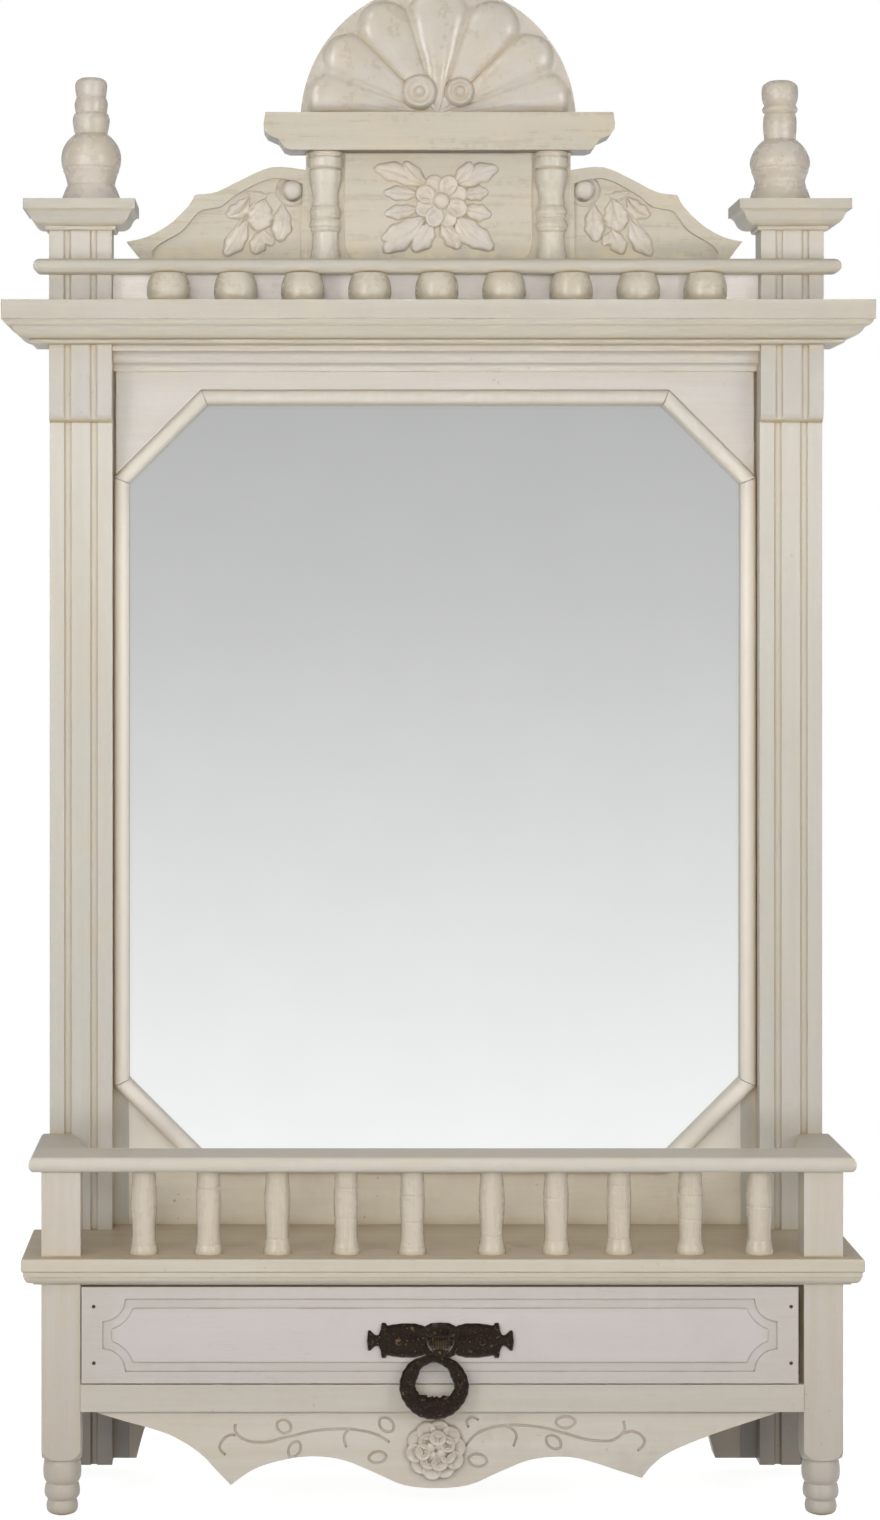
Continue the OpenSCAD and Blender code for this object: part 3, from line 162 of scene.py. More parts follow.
class EffectGroups:
    """Shader node groups that several finishes share. Each is built once."""

    def __init__(self) -> None:
        """Builds every group."""
        self.crevice = self._crevice()
        self.edge = self._edge()
        self.brushed = self._brushed()
        self.scuffs = self._scuffs()

    @staticmethod
    def _start(name: str, inputs: dict[str, Any], outputs: dict[str, Any]) -> tuple[Wiring, Any, Any]:
        """Starts a group.

        Args:
            name: the group's name.
            inputs: socket name with its default, a number or a vector.
            outputs: socket name with a number or a vector, for its type.

        Returns:
            The group's wiring, the input node's outputs and the output node's inputs.
        """
        tree = bpy.data.node_groups.new(name, "ShaderNodeTree")
        for side, sockets in (("INPUT", inputs), ("OUTPUT", outputs)):
            for label, value in sockets.items():
                kind = "NodeSocketVector" if isinstance(value, tuple) else "NodeSocketFloat"
                tree.interface.new_socket(name=label, in_out=side, socket_type=kind).default_value = value
        given, result = tree.nodes.new("NodeGroupInput"), tree.nodes.new("NodeGroupOutput")
        return Wiring(tree), given.outputs, result.inputs

    def _crevice(self) -> bpy.types.NodeTree:
        """Returns a mask of the hollows, where dirt and old varnish gather; on the drawer front it also
        places painted shade in the routed groove.
        """
        w, given, result = self._start("crevice_patina_and_shade", {"Reach": 0.01, "Broken": 0.5, "Coords": ORIGIN},
                                       {"Hollow": 0.0, "Deep": 0.0})
        open_sky = w.add("ShaderNodeAmbientOcclusion", {"Distance": given["Reach"]}, samples=8).outputs["AO"]
        patches = w.noise(given["Coords"], 55.0, 5.0, 0.6)
        broken = w.plus(w.minus(1.0, open_sky), w.times(w.minus(patches, 0.5), given["Broken"]))
        w.send(w.span(broken, 0.12, 0.75), result["Hollow"])
        w.send(w.span(broken, 0.55, 1.0), result["Deep"])
        return w.tree

    def _edge(self) -> bpy.types.NodeTree:
        """Returns rounded normals and a mask of the outer edges, where paint rubs thin."""
        w, given, result = self._start("rubbed_edge", {"Radius": 0.001, "Coords": ORIGIN},
                                       {"Edge": 0.0, "Chip": 0.0, "Rounded": ORIGIN})
        coords = given["Coords"]
        rounded_normal = w.add("ShaderNodeBevel", {"Radius": given["Radius"]}, samples=4).outputs[0]
        true_normal = w.add("ShaderNodeNewGeometry").outputs["Normal"]
        same = w.add("ShaderNodeVectorMath", {0: rounded_normal, 1: true_normal},
                     operation="DOT_PRODUCT").outputs["Value"]
        bent = w.minus(1.0, same)
        near = w.minus(w.times(bent, 5.0), w.noise(coords, 90.0, 4.0, 0.6))
        w.send(w.span(near, 0.0, 0.5), result["Edge"])
        flake = w.minus(w.times(bent, 6.0), w.noise(coords, 420.0, 3.0, 0.6))
        gate = w.span(w.noise(coords, 31.0, 3.0, 0.55), 0.54, 0.62)
        w.send(w.times(w.span(flake, 0.0, 0.25), gate), result["Chip"])
        w.send(rounded_normal, result["Rounded"])
        return w.tree

    def _brushed(self) -> bpy.types.NodeTree:
        """Returns brush strokes and grain that show through paint, as a height and a tone."""
        w, given, result = self._start("brushed_paint",
                                       {"Coords": ORIGIN, "Stretch": Grain.ALONG_Z.value, "Fineness": 1.0},
                                       {"Height": 0.0, "Tone": 0.0, "Crack": 0.0})
        coords, fineness = given["Coords"], given["Fineness"]
        along = w.scaled(coords, given["Stretch"])
        fine = w.noise(along, w.times(fineness, 900.0), 4.0, 0.6)
        broad = w.noise(along, w.times(fineness, 160.0), 3.0, 0.5)
        lumps = w.noise(coords, 210.0, 2.0, 0.5)
        coarse = w.plus(w.times(broad, 0.9), w.times(lumps, 0.35))
        w.send(w.plus(w.times(fine, 0.5), coarse), result["Height"])
        cloud = w.noise(coords, 9.0, 3.0, 0.6)
        w.send(w.plus(w.times(broad, 0.5), w.times(cloud, 0.5)), result["Tone"])
        line = w.noise(along, w.times(fineness, 420.0), 2.0, 0.45)
        thin = w.span(w.math("ABSOLUTE", w.minus(line, 0.5)), 0.0, 0.012, 1.0, 0.0)
        patch = w.noise(coords, 14.0, 2.0, 0.5)
        w.send(w.times(thin, w.span(patch, 0.52, 0.68)), result["Crack"])
        return w.tree

    def _scuffs(self) -> bpy.types.NodeTree:
        """Returns a mask of small knocks and stains."""
        w, given, result = self._start("scuffs", {"Coords": ORIGIN, "Amount": 0.3},
                                       {"Spot": 0.0, "Stain": 0.0})
        coords, amount = given["Coords"], given["Amount"]
        wobble = w.add("ShaderNodeTexNoise", {"Vector": coords, "Scale": 260.0}).outputs[1]
        bent = w.add("ShaderNodeVectorMath", {0: wobble, 1: (0.004, 0.004, 0.004), 2: coords},
                     operation="MULTIPLY_ADD")
        cells = w.add("ShaderNodeTexVoronoi", {"Vector": bent.outputs[0], "Scale": 120.0}).outputs["Distance"]
        where = w.noise(coords, 11.0, 2.0, 0.5)
        gate = w.span(w.plus(where, w.times(amount, 0.2)), 0.6, 0.7)
        w.send(w.times(w.span(cells, 0.06, 0.16, 1.0, 0.0), gate), result["Spot"])
        stain = w.noise(coords, 17.0, 5.0, 0.65)
        w.send(w.span(w.plus(stain, w.times(amount, 0.15)), 0.55, 0.78), result["Stain"])
        return w.tree


EFFECTS = EffectGroups()


def start_material(name: str, **constants: Any
                   ) -> tuple[bpy.types.Material, Wiring, bpy.types.Node, Socket]:
    """Starts a material with a Principled shader.

    Args:
        name: the material's name.
        constants: fixed values of its sockets, with _ for spaces.

    Returns:
        The material, its wiring, the shader node and the Object coordinates.
    """
    material = bpy.data.materials.new(name)
    material.use_nodes = True
    material.node_tree.nodes.clear()
    w = Wiring(material.node_tree)
    inputs = {key.replace("_", " "): value for key, value in constants.items()}
    shader = w.add("ShaderNodeBsdfPrincipled", inputs)
    w.add("ShaderNodeOutputMaterial", {"Surface": shader.outputs[0]})
    return material, w, shader, w.add("ShaderNodeTexCoord").outputs["Object"]


# Finishes


@dataclass(frozen=True)
class HeightTint:
    """A colour that is strongest below one height and gone above another, in metres: a stain at the foot of
    the crest, painted shade low on the stiles and boards, and painted light on the lower runs of the bead.
    """

    low: float
    high: float
    strength: float
    colour: Colour
    even: bool = True


@dataclass(frozen=True)
class PaintFinish:
    """Old cream paint on wood, with patina in the hollows and rubbed edges. Some painted shade and painted
    light is laid into its colour: on the tops, on down-facing faces and low down.
    """

    name: str
    base: Colour
    cool: Colour
    patina_and_shade: Colour = (0.50, 0.40, 0.25)
    dirt: Colour = (0.16, 0.11, 0.07)
    rubbed: Colour = (0.80, 0.74, 0.65)
    top_tint: Colour = (0.70, 0.58, 0.38)
    wood: Colour = (0.27, 0.18, 0.105)
    stretch: Grain = Grain.ALONG_Z
    reach: float = 0.010
    patina_and_shade_strength: float = 0.75
    stain_strength: float = 0.22
    wear_strength: float = 0.4
    crack_strength: float = 0.3
    roughness: float = 0.4
    height: float = 0.00012
    edge_radius: float = 0.0009
    top_dust_and_shade: float = 0.35
    chips: float = 0.55
    under: float = 0.0
    under_colour: Colour = (0.13, 0.10, 0.08)
    spots: float = 0.25
    deep: float = 0.85
    coat: float = 0.12
    coat_roughness: float = 0.25
    tint_below: HeightTint | None = None
    inner: Sequence[float] = ()
    inner_colour: Colour = (0.60, 0.545, 0.56)

    def _within(self, w: Wiring, place: Any) -> Socket:
        """Returns a soft mask of the inner field, whose left, right, low and high are given in metres."""
        left, right, low, high = self.inner
        masks = []
        for axis, start, end, inside, outside in (("X", left, right, 0.006, 0.002),
                                                  ("Z", low, high, 0.004, 0.001)):
            off = w.math("ABSOLUTE", w.minus(place[axis], 0.5 * (start + end)))
            half = 0.5 * (end - start)
            masks.append(w.span(off, half - inside, half + outside, 1.0, 0.0))
        return w.times(*masks)

    def material(self) -> bpy.types.Material:
        """Returns the finish as a material."""
        material, w, shader, coords = start_material(
            self.name, Specular_IOR_Level=0.45, Coat_Weight=self.coat, Coat_Roughness=self.coat_roughness)
        hollow = w.group(EFFECTS.crevice, Reach=self.reach, Broken=0.35, Coords=coords)
        edge = w.group(EFFECTS.edge, Radius=self.edge_radius, Coords=coords)
        strokes = w.group(EFFECTS.brushed, Coords=coords, Stretch=self.stretch.value)
        marks = w.group(EFFECTS.scuffs, Coords=coords, Amount=0.3)
        colour = w.mix(w.span(strokes["Tone"], 0.3, 0.7), self.base, self.cool)
        light = w.span(strokes["Height"], 0.5, 1.3, 0.95, 1.05)
        grey = w.add("ShaderNodeCombineColor", {0: light, 1: light, 2: light}).outputs[0]
        colour = w.mix(1.0, colour, grey, "MULTIPLY")
        place = w.add("ShaderNodeSeparateXYZ", {0: coords}).outputs
        if self.inner:
            cloudy = w.span(strokes["Tone"], 0.25, 0.75, 0.55, 1.0)
            colour = w.mix(w.times(self._within(w, place), cloudy), colour, self.inner_colour)
        # Stains, patina in the hollows, rubbed edges, cracks, knocks and deep dirt; on the drawer front the
        # dark colour of the hollows is painted shade in the routed groove.
        for mask, strength, tint in (
                (marks["Stain"], self.stain_strength, self.patina_and_shade),
                (hollow["Hollow"], self.patina_and_shade_strength, self.patina_and_shade),
                (edge["Edge"], self.wear_strength, self.rubbed),
                (strokes["Crack"], self.crack_strength, self.patina_and_shade),
                (marks["Spot"], self.spots, self.dirt),
                (hollow["Deep"], self.deep, self.dirt)):
            colour = w.mix(w.times(mask, strength), colour, tint)
        # Up-facing faces are darkened and yellowed: partly dust, partly painted shade on the tops.
        normal = w.add("ShaderNodeNewGeometry").outputs["Normal"]
        facing = w.add("ShaderNodeSeparateXYZ", {0: normal}).outputs["Z"]
        level = w.times(w.span(facing, 0.55, 0.95), w.span(strokes["Tone"], 0.25, 0.75, 0.6, 1.0))
        colour = w.mix(w.times(level, self.top_dust_and_shade), colour, self.top_tint, "MULTIPLY")
        colour = w.mix(w.times(edge["Chip"], self.chips), colour, self.wood)
        # Down-facing faces are tinted towards under_colour: painted shade on the bead and crest, painted
        # light on the cornice, a yellow-brown tint on the capitals.
        if self.under > 0.0:
            colour = w.mix(w.span(facing, -0.95, -0.45, self.under, 0.0), colour, self.under_colour)
        # Below a height a colour is laid on: a stain at the foot of the crest, painted shade low on the
        # stiles and boards, painted light on the lower bead.
        if self.tint_below:
            amount = w.span(place["Z"], self.tint_below.low, self.tint_below.high, self.tint_below.strength, 0.0)
            if not self.tint_below.even:
                amount = w.times(amount, w.span(w.noise(coords, 38.0, 3.0, 0.6), 0.38, 0.6))
            colour = w.mix(amount, colour, self.tint_below.colour)
        rough = w.span(strokes["Height"], 0.5, 1.3, self.roughness - 0.07, self.roughness + 0.09)
        w.surface(shader, colour, w.plus(rough, w.times(hollow["Hollow"], 0.2)),
                  Strength=0.9, Distance=self.height, Height=strokes["Height"], Normal=edge["Rounded"])
        return material


@dataclass(frozen=True)
class BareWoodFinish:
    """Unpainted softwood or board with visible grain."""

    name: str
    light: Colour = (0.55, 0.37, 0.2)
    dark: Colour = (0.36, 0.21, 0.1)
    dirt: Colour = (0.12, 0.075, 0.04)
    stretch: Grain = Grain.ALONG_X
    roughness: float = 0.7

    def material(self) -> bpy.types.Material:
        """Returns the finish as a material."""
        material, w, shader, coords = start_material(self.name, Specular_IOR_Level=0.3)
        strokes = w.group(EFFECTS.brushed, Coords=coords, Stretch=self.stretch.value, Fineness=0.6)
        hollow = w.group(EFFECTS.crevice, Reach=0.012, Broken=0.4, Coords=coords)
        colour = w.mix(w.span(strokes["Tone"], 0.35, 0.65), self.light, self.dark)
        colour = w.mix(w.times(hollow["Hollow"], 0.5), colour, self.dirt)
        rough = w.span(strokes["Height"], 0.5, 1.3, self.roughness - 0.1, self.roughness + 0.1)
        w.surface(shader, colour, rough, Strength=0.7, Distance=0.0003, Height=strokes["Height"])
        return material


@dataclass(frozen=True)
class BronzeFinish:
    """Nearly black bronze, rubbed to gold on its high places."""

    name: str
    dark: Colour = (0.012, 0.009, 0.007)
    brown: Colour = (0.032, 0.019, 0.012)
    gold: Colour = (0.42, 0.29, 0.13)
    rub: float = 0.5

    def material(self) -> bpy.types.Material:
        """Returns the finish as a material."""
        material, w, shader, coords = start_material(self.name, Metallic=0.85)
        grain = w.noise(coords, 900.0, 4.0, 0.6)
        patch = w.noise(coords, 130.0, 4.0, 0.65)
        edge = w.group(EFFECTS.edge, Radius=0.0008, Coords=coords)
        hollow = w.group(EFFECTS.crevice, Reach=0.004, Broken=0.3, Coords=coords)
        specks = w.span(w.noise(coords, 760.0, 2.0, 0.5), 0.66, 0.74)
        worn = w.times(w.plus(w.times(w.span(patch, 0.6, 0.72), 0.6), specks), self.rub)
        rubbed = w.plus(worn, w.times(edge["Edge"], 0.25), clamp=True)
        open_rub = w.times(rubbed, w.minus(1.0, hollow["Hollow"]), clamp=True)
        colour = w.mix(w.span(grain, 0.35, 0.7), self.dark, self.brown)
        colour = w.mix(open_rub, colour, self.gold)
        w.surface(shader, colour, w.span(grain, 0.3, 0.7, 0.34, 0.52),
                  Strength=0.6, Distance=0.0003, Height=grain, Normal=edge["Rounded"])
        return material


@dataclass(frozen=True)
class SteelFinish:
    """Plain zinc-plated steel with fine scratches."""

    name: str
    bright: Colour = (0.55, 0.55, 0.54)
    dull: Colour = (0.38, 0.35, 0.31)

    def material(self) -> bpy.types.Material:
        """Returns the finish as a material."""
        material, w, shader, coords = start_material(self.name, Metallic=1.0)
        fine = w.noise(w.scaled(coords, (1.0, 1.0, 0.08)), 2200.0, 3.0, 0.6)
        patch = w.noise(coords, 160.0, 3.0, 0.5)
        w.surface(shader, w.mix(w.span(patch, 0.4, 0.7), self.bright, self.dull),
                  w.span(fine, 0.3, 0.7, 0.3, 0.5), Strength=0.4, Distance=0.0001, Height=fine)
        return material


@dataclass(frozen=True)
class MirrorFinish:
    """Silvered glass, hardly uneven, a little darker where the silver has aged at the rim.

    To diffuse rays it is rough, so that it throws soft light instead of bright spots."""

    name: str
    silver: Colour = (0.90, 0.905, 0.905)
    hazy: Colour = (0.885, 0.89, 0.89)
    aged: Colour = (0.6, 0.6, 0.58)

    def material(self) -> bpy.types.Material:
        """Returns the finish as a material."""
        material, w, shader, coords = start_material(self.name, Metallic=1.0)
        haze = w.noise(coords, 18.0, 3.0, 0.5)
        near = w.group(EFFECTS.crevice, Reach=0.006, Broken=0.25, Coords=coords)
        colour = w.mix(w.span(haze, 0.3, 0.7), self.silver, self.hazy)
        colour = w.mix(w.times(near["Hollow"], 0.25), colour, self.aged)
        spread = w.add("ShaderNodeLightPath").outputs["Is Diffuse Ray"]
        w.surface(shader, colour, w.plus(w.span(haze, 0.3, 0.7, 0.02, 0.035), w.times(spread, 0.7)))
        return material


# Painted shade low down on the stiles and side panels: full below 5 cm, gone above 8.5 cm, where the apron
# and drawer shade them.
PAINTED_SHADE_LOW = HeightTint(0.05, 0.085, 0.5, (0.09, 0.068, 0.054))
CREAM = PaintFinish("cream_paint", (0.459, 0.429, 0.362), (0.445, 0.423, 0.386), tint_below=PAINTED_SHADE_LOW)
SHADE = PaintFinish("shaded_paint", (0.441, 0.411, 0.342), (0.427, 0.404, 0.365),
                    tint_below=HeightTint(0.055, 0.1, 0.4, (0.15, 0.12, 0.12)))
# The foot board is paler and yellower than the other boards: partly its own yellowed paint, partly painted
# light where the gallery and shelf shade it; it keeps the painted shade low down.
FOOT = replace(SHADE, name="foot_board_paint", base=(0.70, 0.63, 0.49), cool=(0.68, 0.62, 0.51), spots=0.6,
               stretch=Grain.ALONG_X)
LINTEL = PaintFinish("cream_paint_across", (0.447, 0.417, 0.364), (0.435, 0.410, 0.386),
                     stretch=Grain.ALONG_X)
RAIL = PaintFinish("rail_paint", (0.506, 0.464, 0.389), (0.499, 0.464, 0.414), stretch=Grain.ALONG_X,
                   top_dust_and_shade=0.2, patina_and_shade_strength=0.6)
# Painted shade on the bead's down-facing side, and painted light on the bead, fading out towards its top run.
BEAD = PaintFinish("bead_paint", (0.460, 0.427, 0.373), (0.447, 0.423, 0.382), patina_and_shade_strength=0.6,
                   edge_radius=0.0006, under=0.6, under_colour=(0.3, 0.26, 0.19),
                   tint_below=HeightTint(0.62, 0.79, 0.45, (0.88, 0.81, 0.70)))
CAPITAL = PaintFinish("capital_paint", (0.400, 0.375, 0.321), (0.388, 0.368, 0.340), under=0.7,
                      under_colour=(0.46, 0.36, 0.2))
POST = PaintFinish("post_paint", (0.436, 0.404, 0.349), (0.422, 0.397, 0.358), patina_and_shade_strength=0.3, deep=0.3)
# Painted light on the cornice's down-facing faces, such as its ovolo.
CORNICE = PaintFinish("cornice_paint", (0.374, 0.344, 0.283), (0.374, 0.354, 0.313), stretch=Grain.ALONG_X,
                      chips=0.8, under=0.45, under_colour=(0.60, 0.53, 0.41), deep=0.6)
TURNED = PaintFinish("turned_cream_paint", (0.500, 0.435, 0.333), (0.500, 0.446, 0.369), reach=0.006,
                     edge_radius=0.0005, height=0.00003, wear_strength=0.2, roughness=0.27, coat=0.3)
COLUMN = replace(TURNED, name="column_paint", base=(0.43, 0.394, 0.315), cool=(0.43, 0.398, 0.34),
                 patina_and_shade=(0.46, 0.36, 0.27), patina_and_shade_strength=1.0, reach=0.005)
FINIAL = replace(TURNED, name="finial_paint", base=(0.41, 0.363, 0.287), cool=(0.41, 0.372, 0.335),
                 stretch=Grain.EVEN, patina_and_shade_strength=0.6, reach=0.005)
BUN = replace(TURNED, name="bun_paint", base=(0.385, 0.343, 0.262), cool=(0.385, 0.351, 0.292),
              stretch=Grain.EVEN, patina_and_shade_strength=0.5)
CARVED = PaintFinish("carved_cream_paint", (0.414, 0.368, 0.298), (0.424, 0.392, 0.352), stretch=Grain.EVEN,
                     reach=0.006, patina_and_shade_strength=0.8, edge_radius=0.0005, roughness=0.3, height=0.0001,
                     coat=0.5, coat_roughness=0.15, spots=0.08, deep=0.45, stain_strength=0.26)
# Painted shade on the crest's down-facing faces; the yellow colour at its foot is a stain.
CREST = PaintFinish("crest_board_paint", (0.391, 0.351, 0.270), (0.399, 0.365, 0.306), stretch=Grain.ALONG_X,
                    reach=0.006, patina_and_shade_strength=0.35, edge_radius=0.0006, roughness=0.3, height=0.00008,
                    under=0.8, deep=0.3, tint_below=HeightTint(0.868, 0.885, 0.5, (0.56, 0.48, 0.27), even=False))
LEAFAGE = replace(CARVED, name="leaf_cream_paint", patina_and_shade_strength=0.4, deep=0.2, reach=0.004,
                  tint_below=HeightTint(0.868, 0.885, 0.4, (0.56, 0.48, 0.27), even=False))
# The base board behind the buns is painted far paler than the other paint: its own pinkish cream, plus
# painted light in the shaded slot behind the buns.
PINKISH = PaintFinish("base_board_paint", (0.93, 0.88, 0.82), (0.93, 0.88, 0.84), stretch=Grain.ALONG_X,
                      patina_and_shade_strength=0.1, deep=0.08, stain_strength=0.1, chips=0.1, wear_strength=0.1)
# The shelf's top gets more of the darker, yellower colour on up-facing faces: dust, and painted shade on its
# top.
SHELF = PaintFinish("shelf_cream_paint", (0.520, 0.461, 0.367), (0.516, 0.471, 0.397), stretch=Grain.ALONG_X,
                    top_dust_and_shade=0.7, reach=0.014)
# The strong, narrow dark lilac in the hollows is painted shade in the routed groove of the drawer front.
LILAC = PaintFinish("drawer_paint", (0.504, 0.464, 0.416), (0.480, 0.453, 0.425), stretch=Grain.ALONG_X,
                    patina_and_shade=(0.27, 0.21, 0.2), patina_and_shade_strength=1.0, reach=0.005, stain_strength=0.1,
                    spots=0.06, inner_colour=(0.533, 0.490, 0.480))
APRON = PaintFinish("apron_paint", (0.57, 0.51, 0.42), (0.57, 0.53, 0.47), stretch=Grain.ALONG_X,
                    patina_and_shade=(0.22, 0.15, 0.085), reach=0.0035, patina_and_shade_strength=1.0, edge_radius=0.0004,
                    roughness=0.34)
LEG = PaintFinish("leg_paint", (0.502, 0.446, 0.363), (0.490, 0.454, 0.414))
BARE = BareWoodFinish("bare_wood")
BOARD = BareWoodFinish("hardboard", light=(0.30, 0.19, 0.11), dark=(0.22, 0.13, 0.075), roughness=0.8)
BRONZE = BronzeFinish("dark_bronze")
STEEL = SteelFinish("plain_steel")
RUSTED = BronzeFinish("rusted_steel", dark=(0.06, 0.042, 0.034), brown=(0.12, 0.075, 0.05), rub=0.1)
SILVERED = MirrorFinish("mirror_glass")


Finish = PaintFinish | BareWoodFinish | BronzeFinish | SteelFinish | MirrorFinish


class Workshop:
    """Keeps one material for each finish and dresses pieces with them."""

    def __init__(self) -> None:
        """Starts with no material made."""
        self.made: dict[str, bpy.types.Material] = {}

    def material(self, finish: Finish) -> bpy.types.Material:
        """Returns the finish's material, made once."""
        if finish.name not in self.made:
            self.made[finish.name] = finish.material()
        return self.made[finish.name]

    def dress(self, finish: Finish, *nodes: str) -> None:
        """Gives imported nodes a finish.

        Args:
            finish: one of the finishes.
            nodes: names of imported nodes.
        """
        for name in nodes:
            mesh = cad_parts[name].data
            mesh.materials.clear()
            mesh.materials.append(self.material(finish))
            log.info("dressed %s with %s", name, finish.name)


WORKSHOP = Workshop()


# Mesh building


def add_object(name: str, data: Any) -> bpy.types.Object:
    """Puts a new object with its data in the scene and returns it."""
    made = bpy.data.objects.new(name, data)
    bpy.context.scene.collection.objects.link(made)
    return made


def weld(part: bmesh.types.BMesh, gap: float = WELD) -> None:
    """Merges the points of a part that lie closer together than the gap."""
    bmesh.ops.remove_doubles(part, verts=part.verts[:], dist=gap)


def rim(part: bmesh.types.BMesh) -> list[bmesh.types.BMEdge]:
    """Returns the open edges of a part."""
    return [edge for edge in part.edges if edge.is_boundary]


def around(turn: float, radius: float) -> Vector:
    """Returns the point at an angle in degrees on a circle."""
    return Vector((math.cos(math.radians(turn)), math.sin(math.radians(turn)))) * radius


def curve_through(points: Sequence[Point], steps: int = 6) -> list[Point]:
    """Returns a smooth curve.

    Args:
        points: places that the curve passes.
        steps: number of spans between two of them.

    Returns:
        The points of the curve.
    """
    curve: list[Point] = []
    last = len(points) - 1
    for i in range(last):
        a, b, c, d = (Vector(points[k]) for k in (max(i - 1, 0), i, i + 1, min(i + 2, last)))
        for k in range(steps):
            t = k / steps
            curve.append(tuple(0.5 * (2 * b + (c - a) * t + (2 * a - 5 * b + 4 * c - d) * t ** 2
                                      + (3 * b - a - 3 * c + d) * t ** 3)))
    curve.append(tuple(points[last]))
    return curve


def bell(value: float, width: float) -> float:
    """Returns a smooth bump of height 1 around zero."""
    return math.exp(-(value / width) ** 2)


def blend(curve: Sequence[Point], share: float) -> float:
    """Returns the radius of a turned curve at a share of its height.

    Args:
        curve: radius and share of each point, upwards.
        share: the place.

    Returns:
        The radius between the two points beside the place.
    """
    for (radius, low), (next_radius, high) in zip(curve, curve[1:]):
        if high >= share:
            part = (share - low) / max(high - low, 1e-6)
            return radius + (next_radius - radius) * min(max(part, 0.0), 1.0)
    return curve[-1][0]


def rounded(value: float, power: float = 2.0) -> float:
    """Returns the rounded section of a cushion, 1 in the middle and 0 at -1 and 1."""
    return math.sqrt(max(0.0, 1.0 - abs(value) ** power))


def lathe(profile: Sequence[Point], steps: int = 36, sweep: float = 360.0) -> bmesh.types.BMesh:
    """Turns a profile about the Z axis.

    Args:
        profile: radius and height of each point, from one pole to the other.
        steps: number of spans around.
        sweep: angle in degrees; a part turn runs from -X through -Y to +X and gets a flat back.

    Returns:
        The turned part.
    """
    part = bmesh.new()
    verts = [part.verts.new((-r, 0.0, z)) for r, z in profile]
    edges = [part.edges.new(pair) for pair in zip(verts, verts[1:])]
    bmesh.ops.spin(part, geom=verts + edges, cent=(0.0, 0.0, 0.0), axis=(0.0, 0.0, 1.0),
                   angle=math.radians(sweep), steps=steps, use_merge=sweep >= 360.0)
    weld(part)
    if sweep < 360.0:
        bmesh.ops.holes_fill(part, edges=rim(part), sides=0)
    return part


def scribed(lines: Sequence[float], depth: float, width: float) -> Callable[[float], float]:
    """Returns what fine lines, scribed at some shares of the height, take off a radius."""
    return lambda share: depth * sum(bell(share - line, width) for line in lines)


def turned(curve: Sequence[Point], radius: float, tall: float, steps: int, cut: Callable[[float], float],
           top: float = 1.0) -> list[Point]:
    """Makes the profile of a turned piece for lathe.

    Args:
        curve: share of the radius and of the height of each point, upwards.
        radius: the full radius.
        tall: the full height.
        steps: number of spans along the height.
        cut: gives what is taken off the radius at a share of the height.
        top: share of the height at which the piece ends.

    Returns:
        Radius and height of each point, from one pole to the other.
    """
    shares = [top * step / steps for step in range(steps + 1)]
    side = [(radius * blend(curve, share) - cut(share), tall * share) for share in shares]
    return [(0.0, 0.0), *side, (0.0, tall * top)]


def dome(radius: float, height: float, steps: int = 24, skirt: float = 0.8) -> bmesh.types.BMesh:
    """Returns a round boss that rises from the plane Z = 0, with a short foot below it."""
    turns = [0.5 * math.pi * k / 8 for k in range(8)]
    quarter = [(radius * math.cos(turn), height * math.sin(turn)) for turn in turns]
    return lathe([(0.0, -skirt), (radius, -skirt), *quarter, (0.0, height)], steps)


def dish(radius: float, height: float, steps: int = 22) -> bmesh.types.BMesh:
    """Returns a round petal with a raised lip around a hollow, and a short foot below the plane Z = 0."""
    lip = ((1.0, 0.45), (0.96, 0.82), (0.87, 1.0), (0.72, 0.9), (0.5, 0.62), (0.25, 0.48))
    side = [(radius * r, height * h) for r, h in lip]
    return lathe([(0.0, -0.8), (radius, -0.8), *side, (0.0, 0.45 * height)], steps)


def field(columns: int, rows: int, place: Callable[[float, float], Sequence[float]]) -> bmesh.types.BMesh:
    """Lays a grid over a curved surface.

    Args:
        columns: number of spans in the first direction.
        rows: number of spans in the second direction.
        place: gives the point for two numbers from -1 to 1.

    Returns:
        The surface, with points that fall together merged.
    """
    part = bmesh.new()
    bmesh.ops.create_grid(part, x_segments=columns, y_segments=rows, size=1.0)
    for vert in part.verts:
        vert.co = place(vert.co.x, vert.co.y)
    weld(part)
    return part


def relief(columns: int, rows: int, place: Callable[[float, float], Sequence[float]], back: float = -0.8
           ) -> bmesh.types.BMesh:
    """Makes a carved piece: a curved front as in field, whose rim is drawn back to a flat back.

    Args:
        columns: number of spans in the first direction.
        rows: number of spans in the second direction.
        place: gives the point for two numbers from -1 to 1.
        back: height of the flat back.

    Returns:
        The closed part.
    """
    part = field(columns, rows, place)
    drawn = bmesh.ops.extrude_edge_only(part, edges=rim(part))
    for vert in drawn["geom"]:
        if isinstance(vert, bmesh.types.BMVert):
            vert.co.z = back
    bmesh.ops.holes_fill(part, edges=rim(part), sides=0)
    return part


